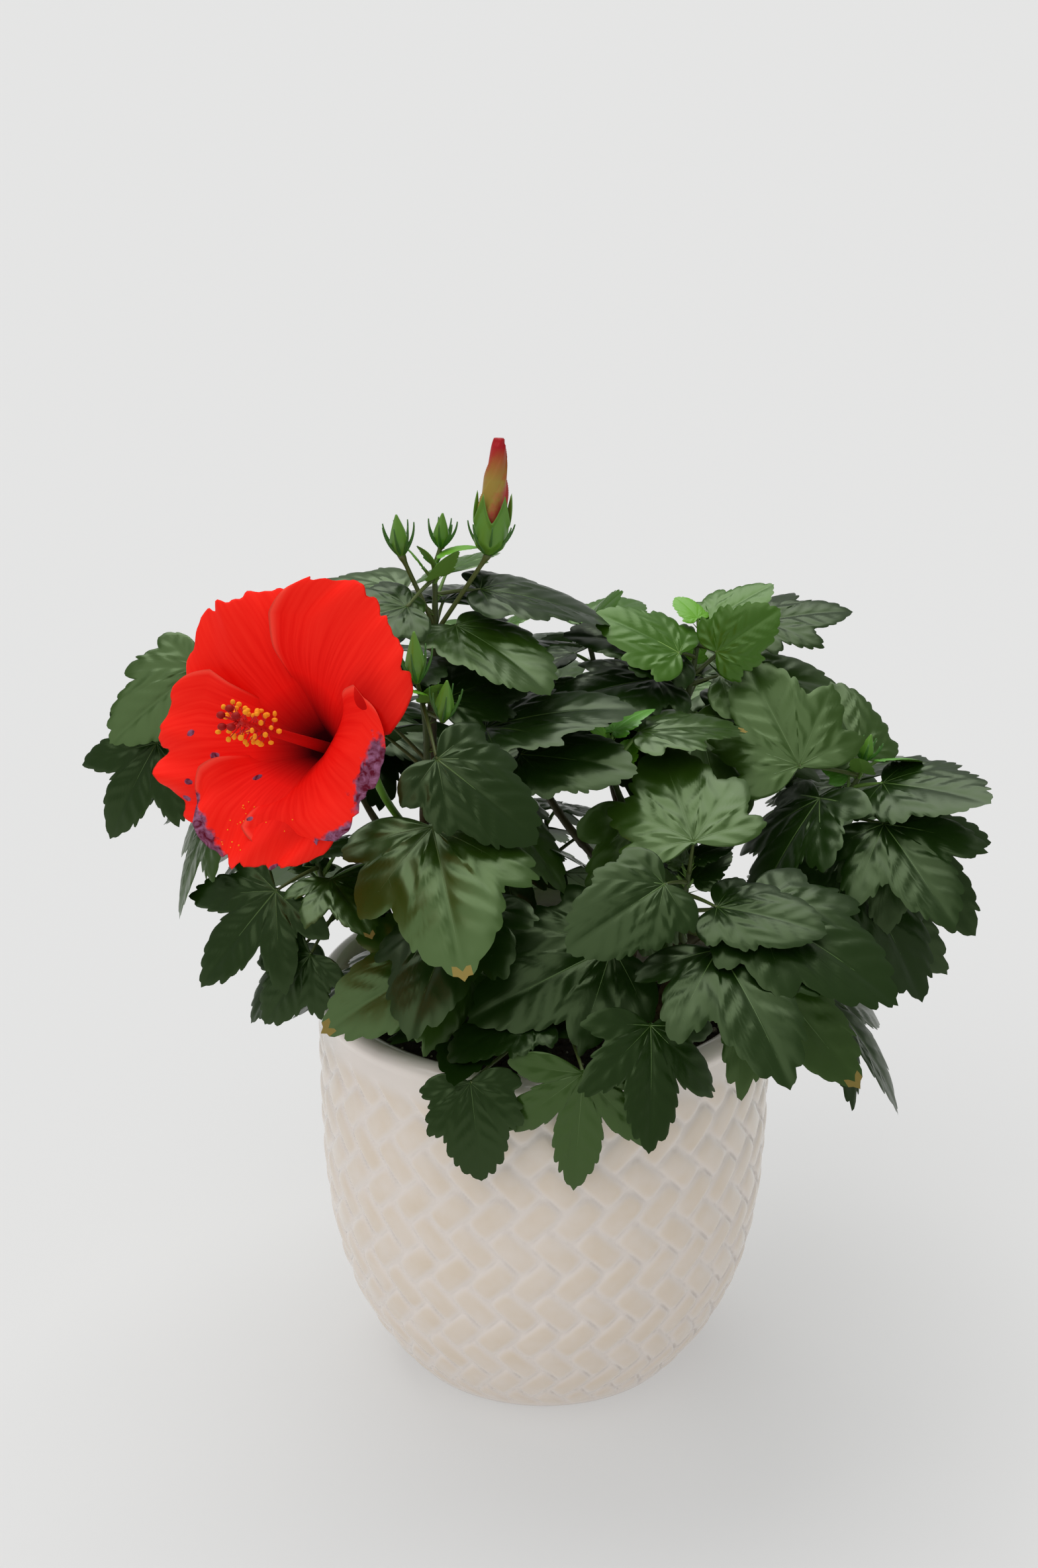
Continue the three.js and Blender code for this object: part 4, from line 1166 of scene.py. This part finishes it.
# Withered patches of a petal: middle as (s, w) and half sizes of each.
WITHERED = {
    "petal_right": [
        ((1.02, 0.35), (0.26, 0.5)),
        ((1.03, -0.4), (0.13, 0.5)),
        ((0.62, -0.95), (0.035, 0.05)),
    ],
    "petal_bottom": [
        ((0.96, -0.8), (0.14, 0.6)),
        ((0.97, 0.45), (0.05, 0.08)),
        ((0.45, -0.5), (0.035, 0.06)),
    ],
    "petal_left": [
        ((0.62, 0.05), (0.035, 0.06)),
        ((0.8, 0.3), (0.03, 0.05)),
        ((0.75, -0.25), (0.03, 0.05)),
        ((0.9, 0.5), (0.035, 0.05)),
        ((0.66, 0.5), (0.03, 0.05)),
        ((0.55, 0.75), (0.07, 0.14)),
    ],
}


def ruffle(s, w, seed):
    """The wave of a petal's free margin, in millimetres off its surface."""
    rng = np.random.default_rng(seed)
    total = np.zeros_like(s)
    for k in range(4):
        n, phase = rng.uniform(2, 6), rng.uniform(*PHASES)
        total += np.sin(n * (w + 0.6 * s) * 2.2 + phase) / (k + 1.5)
    edge = np.maximum(smooth(0.55, 1.0, s), 0.8 * np.abs(w) ** 4 * smooth(0.35, 0.8, s))
    return PETAL.ruffle * total * edge


def petal_body(name, satin):
    """A petal as a thin closed sheet that carries what its material reads."""
    petal = PETALS[name]
    seed = list(PETALS).index(name) + 3
    rng = np.random.default_rng(seed)
    notches = [
        (rng.uniform(-0.9, 0.9), rng.uniform(0.02, 0.05), rng.uniform(0.03, 0.07))
        for _ in range(PETAL.notches)
    ]
    seen = {}

    def place(u, v):
        w = np.where(u <= 0.5, 4 * u - 1, 3 - 4 * u)
        flip = np.where(u <= 0.5, 1, -1)
        s = np.clip(v, 0, 1)
        trim = np.ones_like(s)
        for at, deep, wide in notches:
            trim -= deep * np.exp(-(((w - at) / wide) ** 2))
        frill = np.sin(5 * w + seed) + 0.7 * np.sin(12 * w + 2 * seed) + 0.3 * np.sin(41 * w) + 1.4
        trim -= PETAL.frill * frill * smooth(0.6, 1, s)
        reach = np.minimum(s * mix(1, trim, smooth(0.5, 1, s)), 0.999)
        body = PETAL.thick * (1 - np.abs(w) ** 12) * (1 - s**30)
        vein = PETAL.vein * np.sin(w * 46 + 4 * np.sin(s * 3)) * (1 - s) * smooth(0.1, 0.3, s)
        fold = PETAL.wrinkle * np.sin(w * 7 + 2.5 * np.sin(4 * s + seed)) * smooth(0.3, 0.7, s)
        lift = flip * body / 2 + ruffle(s, w, seed) + vein + fold
        over = np.where(w < 0, petal[5], petal[6]) > 0
        curl = np.where(over, *PETAL.curl) * np.abs(w) ** 4 * smooth(0.25, 0.6, s)
        patch = np.full(len(s), -1.0)
        for (ps, pw), (ds, dw) in WITHERED.get(name, []):
            patch = np.maximum(patch, 1 - ((reach - ps) / ds) ** 2 - ((w - pw) / dw) ** 2)
        # Painted shadow: a petal's colour darkens towards an edge that lies under its neighbour.
        painted_lap_shadow = smooth(0.2, 0.45, reach) * (1 - smooth(0.6, 0.9, reach))
        seen["along"], seen["across"], seen["withered"] = reach, w, patch
        seen["painted_lap_shadow"] = np.where(over, 0, smooth(0.1, 0.7, np.abs(w))) * painted_lap_shadow
        # Painted highlight along an edge that lies over its neighbour.
        seen["rolled"] = np.where(over, smooth(0.92, 1.0, np.abs(w)), 0) * smooth(0.35, 0.6, reach)
        surface = petal_point(petal, reach, w) + petal_normal(petal, reach, w) * lift[:, None]
        return surface + unit(BLOOM.axis) * curl[:, None]

    bm = bmesh.new()
    shell(bm, PETAL.columns, PETAL.rows, place)
    carry(bm, seen)
    finished(name, bm, [satin], "bloom", "bloom")


def column(materials):
    """The column with its anthers and five stigma pads, and pollen fallen on the petal below."""
    red, pollen, stigma = range(3)
    axis, first, second = bloom_frame()
    bm = bmesh.new()
    tip = BLOOM.throat + axis * BLOOM.column
    limb(bm, straight(BLOOM.throat - axis * 6, tip), taper(2.7, 1.5), 16, 24, red)
    rng = np.random.default_rng(11)
    for k in range(BLOOM.anthers):
        share = mix(BLOOM.anthers_from, 1.0, k / (BLOOM.anthers - 1))
        start = BLOOM.throat + axis * BLOOM.column * share
        out = around(first, second, np.radians(GOLDEN * k + rng.uniform(-14, 14)))
        end = start + (out + axis * rng.uniform(0.2, 0.7)) * rng.uniform(5.5, 8.5)
        limb(bm, straight(start, end), taper(0.3, 0.22), 5, 3, red)
        ball(bm, BLOOM.anther, pollen, moved(end, rng.uniform(0.8, 1.2, 3)))
    for k in range(5):
        out = around(first, second, np.radians(72.0 * k + 10))
        end = tip + (out * 0.75 + axis) * 5.5
        limb(bm, straight(tip - axis, end), taper(0.55, 0.4), 6, 4, red)
        ball(bm, BLOOM.stigma, stigma, moved(end, (1, 1, 0.8)))
    specks = BLOOM.specks
    for s, w in zip(rng.uniform(0.6, 0.92, specks), rng.normal(-0.12, 0.2, specks)):
        at = petal_point(PETALS["petal_bottom"], np.array(s), np.array(w))
        ball(bm, rng.uniform(0.2, 0.42), pollen, moved(at + axis), 1)
    finished("stamen_column", bm, materials, "bloom", "bloom")


def calyx(green):
    """The open bloom's calyx with its ring of bracts, and the stalk."""
    axis, _, _ = bloom_frame()
    back = BLOOM.throat - axis * BLOOM.calyx
    bm = bmesh.new()
    rim = pointed(5, 0.55)

    def hold(high, share, angle):
        return mix(3.4, 6.0, smooth(0, 0.5, share)) + 4.2 * smooth(0.6, 1.0, share) ** 2

    cup(bm, back, axis, hold, lambda angle: 31 * rim(angle), SEPAL, 60, 20)
    limb(bm, bloom_stalk(), lambda t, _: mix(1.4, 1.9, t) + 0.8 * smooth(0.9, 1, t), 12, 30)
    bracts(bm, back, axis, 7, 4, 12, 5, 6, 8, curl=3.0)
    finished("calyx_and_stalk", bm, [green], "bloom", "bloom")


# Materials.


def node(tree, kind, inputs, **settings):
    """The outputs of a new node. Each input, by name or number, takes a value or an output of
    another node."""
    made = tree.nodes.new("ShaderNode" + kind)
    for key, value in settings.items():
        setattr(made, key, value)
    for key, value in inputs.items():
        if isinstance(value, bpy.types.NodeSocket):
            tree.links.new(value, made.inputs[key])
        else:
            made.inputs[key].default_value = value
    return made.outputs


def read(tree, name):
    return node(tree, "Attribute", {}, attribute_name=name)["Fac"]


def grain(tree, size, detail, distortion=0.0):
    """Noise that keeps its place on the object, of a size in millimetres."""
    place = node(tree, "TexCoord", {})["Object"]
    inputs = {"Vector": place, "Scale": 1 / (size * MM), "Detail": detail, "Distortion": distortion}
    return node(tree, "TexNoise", inputs)["Fac"]


def ramp(tree, value, low, high, bottom=0.0, top=1.0):
    inputs = {"Value": value, "From Min": low, "From Max": high, "To Min": bottom, "To Max": top}
    return node(tree, "MapRange", inputs)["Result"]


def scaled(tree, value, factor, more):
    """A value times a factor, and some more."""
    return node(tree, "Math", {0: value, 1: factor, 2: more}, operation="MULTIPLY_ADD")["Value"]


def blend(tree, factor, first, second):
    """A colour between two, each a hex code or another node's output."""
    first, second = (colour(one) if isinstance(one, str) else one for one in (first, second))
    return node(tree, "Mix", {"Factor": factor, 6: first, 7: second}, data_type="RGBA")[2]


def feed(made, output, *sockets):
    """Links an output to sockets of a material's surface shader."""
    for socket in sockets:
        made.node_tree.links.new(output, made.node_tree.nodes["Principled BSDF"].inputs[socket])


def mottled(name, colours, rough, noisy, raised):
    """A rough material of two colours, blended and raised by the same noise. Noisy is its size in
    millimetres, its detail and its spread, and raised its strength and depth in millimetres."""
    made = material(name, colours[0], rough)
    tree = made.node_tree
    size, detail, spread = noisy
    strength, depth = raised
    crumbs = grain(tree, size, detail)
    share = ramp(tree, crumbs, 0.5 - spread, 0.5 + spread)
    feed(made, blend(tree, share, *colours), "Base Color")
    inputs = {"Strength": strength, "Distance": depth * MM, "Height": crumbs}
    feed(made, node(tree, "Bump", inputs)["Normal"], "Normal")
    return made


def glazed_stoneware():
    # Stoneware under a warm white gloss glaze: smooth, mirror-like highlights, and a creamier
    # tone in the middle of each strand.
    made = material("glazed_stoneware", "#ebe5dc", 0.2, Coat_Weight=0.35, Coat_Roughness=0.05)
    tree = made.node_tree
    cream = scaled(tree, read(tree, "pooled"), grain(tree, 14, 3.0), 0.05)
    feed(made, blend(tree, cream, "#f6ece4", "#e9d6bd"), "Base Color")
    return made


def satin_petal():
    # Petal tissue: a strong clear red with a velvet sheen, wine-dark in the throat, and dull
    # purple where it has begun to wither. A faint glow in its own colour is painted light, which
    # stands in for light shining through it from behind.
    made = material("satin_petal", "#f21505", 0.6, Specular_IOR_Level=0.06, Emission_Strength=0.11)
    tree = made.node_tree
    along, across = read(tree, "along"), read(tree, "across")
    place = node(tree, "CombineXYZ", {"X": across, "Y": along})["Vector"]
    stretch = {0: place, 1: (24, 2.4, 1)}
    drawn_out = node(tree, "VectorMath", stretch, operation="MULTIPLY")["Vector"]
    streaks = node(tree, "TexNoise", {"Vector": drawn_out, "Scale": 1.0, "Detail": 5.0})["Fac"]
    outward = ramp(tree, along, 0.35, 1.0, -0.35, 0.3)
    red = blend(tree, scaled(tree, streaks, 1.1, outward), "#e60201", "#ff2c1e")
    # Painted shadow of the overlying petal: deeper red under its edge.
    red_with_painted_shadow = blend(tree, read(tree, "painted_lap_shadow"), red, "#b80302")
    # Painted highlight: a paler red along the overlying edges.
    margin_lit = blend(tree, read(tree, "rolled"), red_with_painted_shadow, "#ff4c3c")
    fresh = blend(tree, ramp(tree, along, 0.1, 0.42), "#3a0309", margin_lit)
    ragged = scaled(tree, grain(tree, 4.5, 6.0), 1.6, read(tree, "withered"))
    creases = ramp(tree, grain(tree, 5, 6.0, 1.6), 0.36, 0.66)
    purple = blend(tree, creases, "#5a1226", "#94607f")
    whole = blend(tree, ramp(tree, ragged, 0.98, 1.25), fresh, purple)
    # The colour also feeds the emission: a painted glow in place of light shining through from
    # behind.
    feed(made, whole, "Base Color", "Emission Color")
    return made


def furled_petal():
    # The outside of petals still in bud: dull rose with olive-gold flanks, crimson at the tip.
    made = material("furled_petal", "#bf4038", 0.5, Specular_IOR_Level=0.3)
    tree = made.node_tree
    flank = node(tree, "Math", {0: read(tree, "turn"), 1: 0.5}, operation="PINGPONG")["Value"]
    ragged = scaled(tree, grain(tree, 3, 4.0), 0.3, flank)
    side = blend(tree, ramp(tree, ragged, 0.34, 0.52), "#bf4038", "#a98f3e")
    high = ramp(tree, read(tree, "rise"), 0.6, 0.92)
    feed(made, blend(tree, high, side, "#b3121c"), "Base Color")
    return made


def lamp(name, strength, softness, at):
    """A distant lamp seen from the plant at a place, its softness an angle in degrees."""
    light = bpy.data.lights.new(name, "SUN")
    light.energy, light.angle = strength, math.radians(softness)
    made = in_scene(name, light)
    made.location = at
    made.rotation_euler = (Vector((0, 0, 0.25)) - Vector(at)).to_track_quat("-Z", "Y").to_euler()


def studio():
    """A plain pale floor, soft light from all round and above, and the camera."""
    bm = bmesh.new()
    bmesh.ops.create_grid(bm, x_segments=1, y_segments=1, size=30)
    mesh = bpy.data.meshes.new("floor")
    bm.to_mesh(mesh)
    bm.free()
    # White paper lit from under as well, so that the plant's shadow on it stays faint.
    mesh.materials.append(
        material("pale_paper", "#adadac", 0.9, Specular_IOR_Level=0.1, Emission_Strength=0.34)
    )
    in_scene("floor", mesh)

    scene = bpy.context.scene
    scene.world = bpy.data.worlds.new("studio")
    scene.world.use_nodes = True
    sky = scene.world.node_tree.nodes["Background"]
    sky.inputs["Color"].default_value = colour("#f6f7f8")
    sky.inputs["Strength"].default_value = 0.38
    lamp("window_light", 0.9, 60, (-0.7, -1.0, 2.0))
    lamp("overhead_softbox", 1.6, 52, (-0.2, 0.7, 1.75))

    lens = bpy.data.cameras.new("camera")
    lens.lens = 60
    lens.sensor_width = 36
    scene.camera = in_scene("camera", lens)
    scene.camera.location = (-0.01173, -1.0858, 0.7079)
    scene.camera.rotation_euler = (math.radians(68.69), 0, 0)
    scene.view_settings.view_transform = "Standard"


def build():
    # Leaf tissue under a waxy skin: glossy above, brighter and thinner-skinned when young. The
    # undersides are dull, a dry tip is dead and brown, and the veins are paler than the blade.
    tint = (0.72, 1, 0.5, 1)
    waxy = {"Specular_IOR_Level": 0.8, "Specular_Tint": tint}
    leaf_materials = [
        material("leaf_unfolding", "#69ab20", 0.42),
        material("leaf_young", "#58982c", 0.38),
        material("leaf_new", "#37600d", 0.32, **waxy),
        material("leaf_grown", "#26400a", 0.3, **waxy),
        material("leaf_old", "#132805", 0.3, Specular_IOR_Level=0.55, Specular_Tint=tint),
        material("leaf_underside", "#4a6a30", 0.6),
        material("leaf_underside_young", "#6f9f3a", 0.6),
        material("leaf_dry_tip", "#8f7c38", 0.8),
        material("vein_young", "#8fb45a", 0.5),
        material("vein_grown", "#4f6c30", 0.45),
    ]
    # Green shoots: soft skin, browner with age.
    twig_materials = [
        material("shoot", "#4a5a2c", 0.55),
        material("leaf_stalk_young", "#6e9440", 0.5),
        material("leaf_stalk", "#55642f", 0.5),
    ]
    # Firm green tissue of sepals, of the narrower bracts, and of the browner stalks.
    green = material("bud_green", "#61942c", 0.45)
    bract = material("bract_green", "#43742a", 0.5)
    bud_stalk = material("bud_stalk", "#58652e", 0.5)
    pot(glazed_stoneware())
    soil(
        # Peat and composted bark: near black, damp and rough.
        mottled("potting_earth", ("#1d1613", "#3a2b22"), 0.95, (4, 8.0, 0.2), (0.8, 1.5)),
        material("perlite", "#c9c3b8", 0.9),  # puffed white stone crumbs
        material("bark_chip", "#3b2a20", 0.9),  # dark crumbs of composted bark
    )
    # Young woody bark: dull tan-brown, finely furrowed.
    stems(mottled("woody_bark", ("#8b7657", "#5d4a35"), 0.8, (3, 6.0, 0.22), (0.5, 0.4)))
    # Bark of the year before: brown over green, smoother than the old stems.
    boughs(mottled("green_wood", ("#5f5a3a", "#47402a"), 0.6, (5, 5.0, 0.22), (0.3, 0.2)))
    foliage(grow(), leaf_materials, twig_materials)
    buds([green, bract, bud_stalk])
    tall_bud(BUDS[0], furled_petal())
    satin = satin_petal()
    for name in PETALS:
        petal_body(name, satin)
    # The column's fleshy red tissue, its powdery pollen, and the velvety stigma pads.
    column_red = material("column_red", "#d3130f", 0.45)
    pollen = material("pollen", "#ffa01e", 0.8, Specular_IOR_Level=0.2)
    stigma = material("stigma", "#a00c0c", 0.6, Specular_IOR_Level=0.2)
    column([column_red, pollen, stigma])
    calyx(green)
    studio()


build()
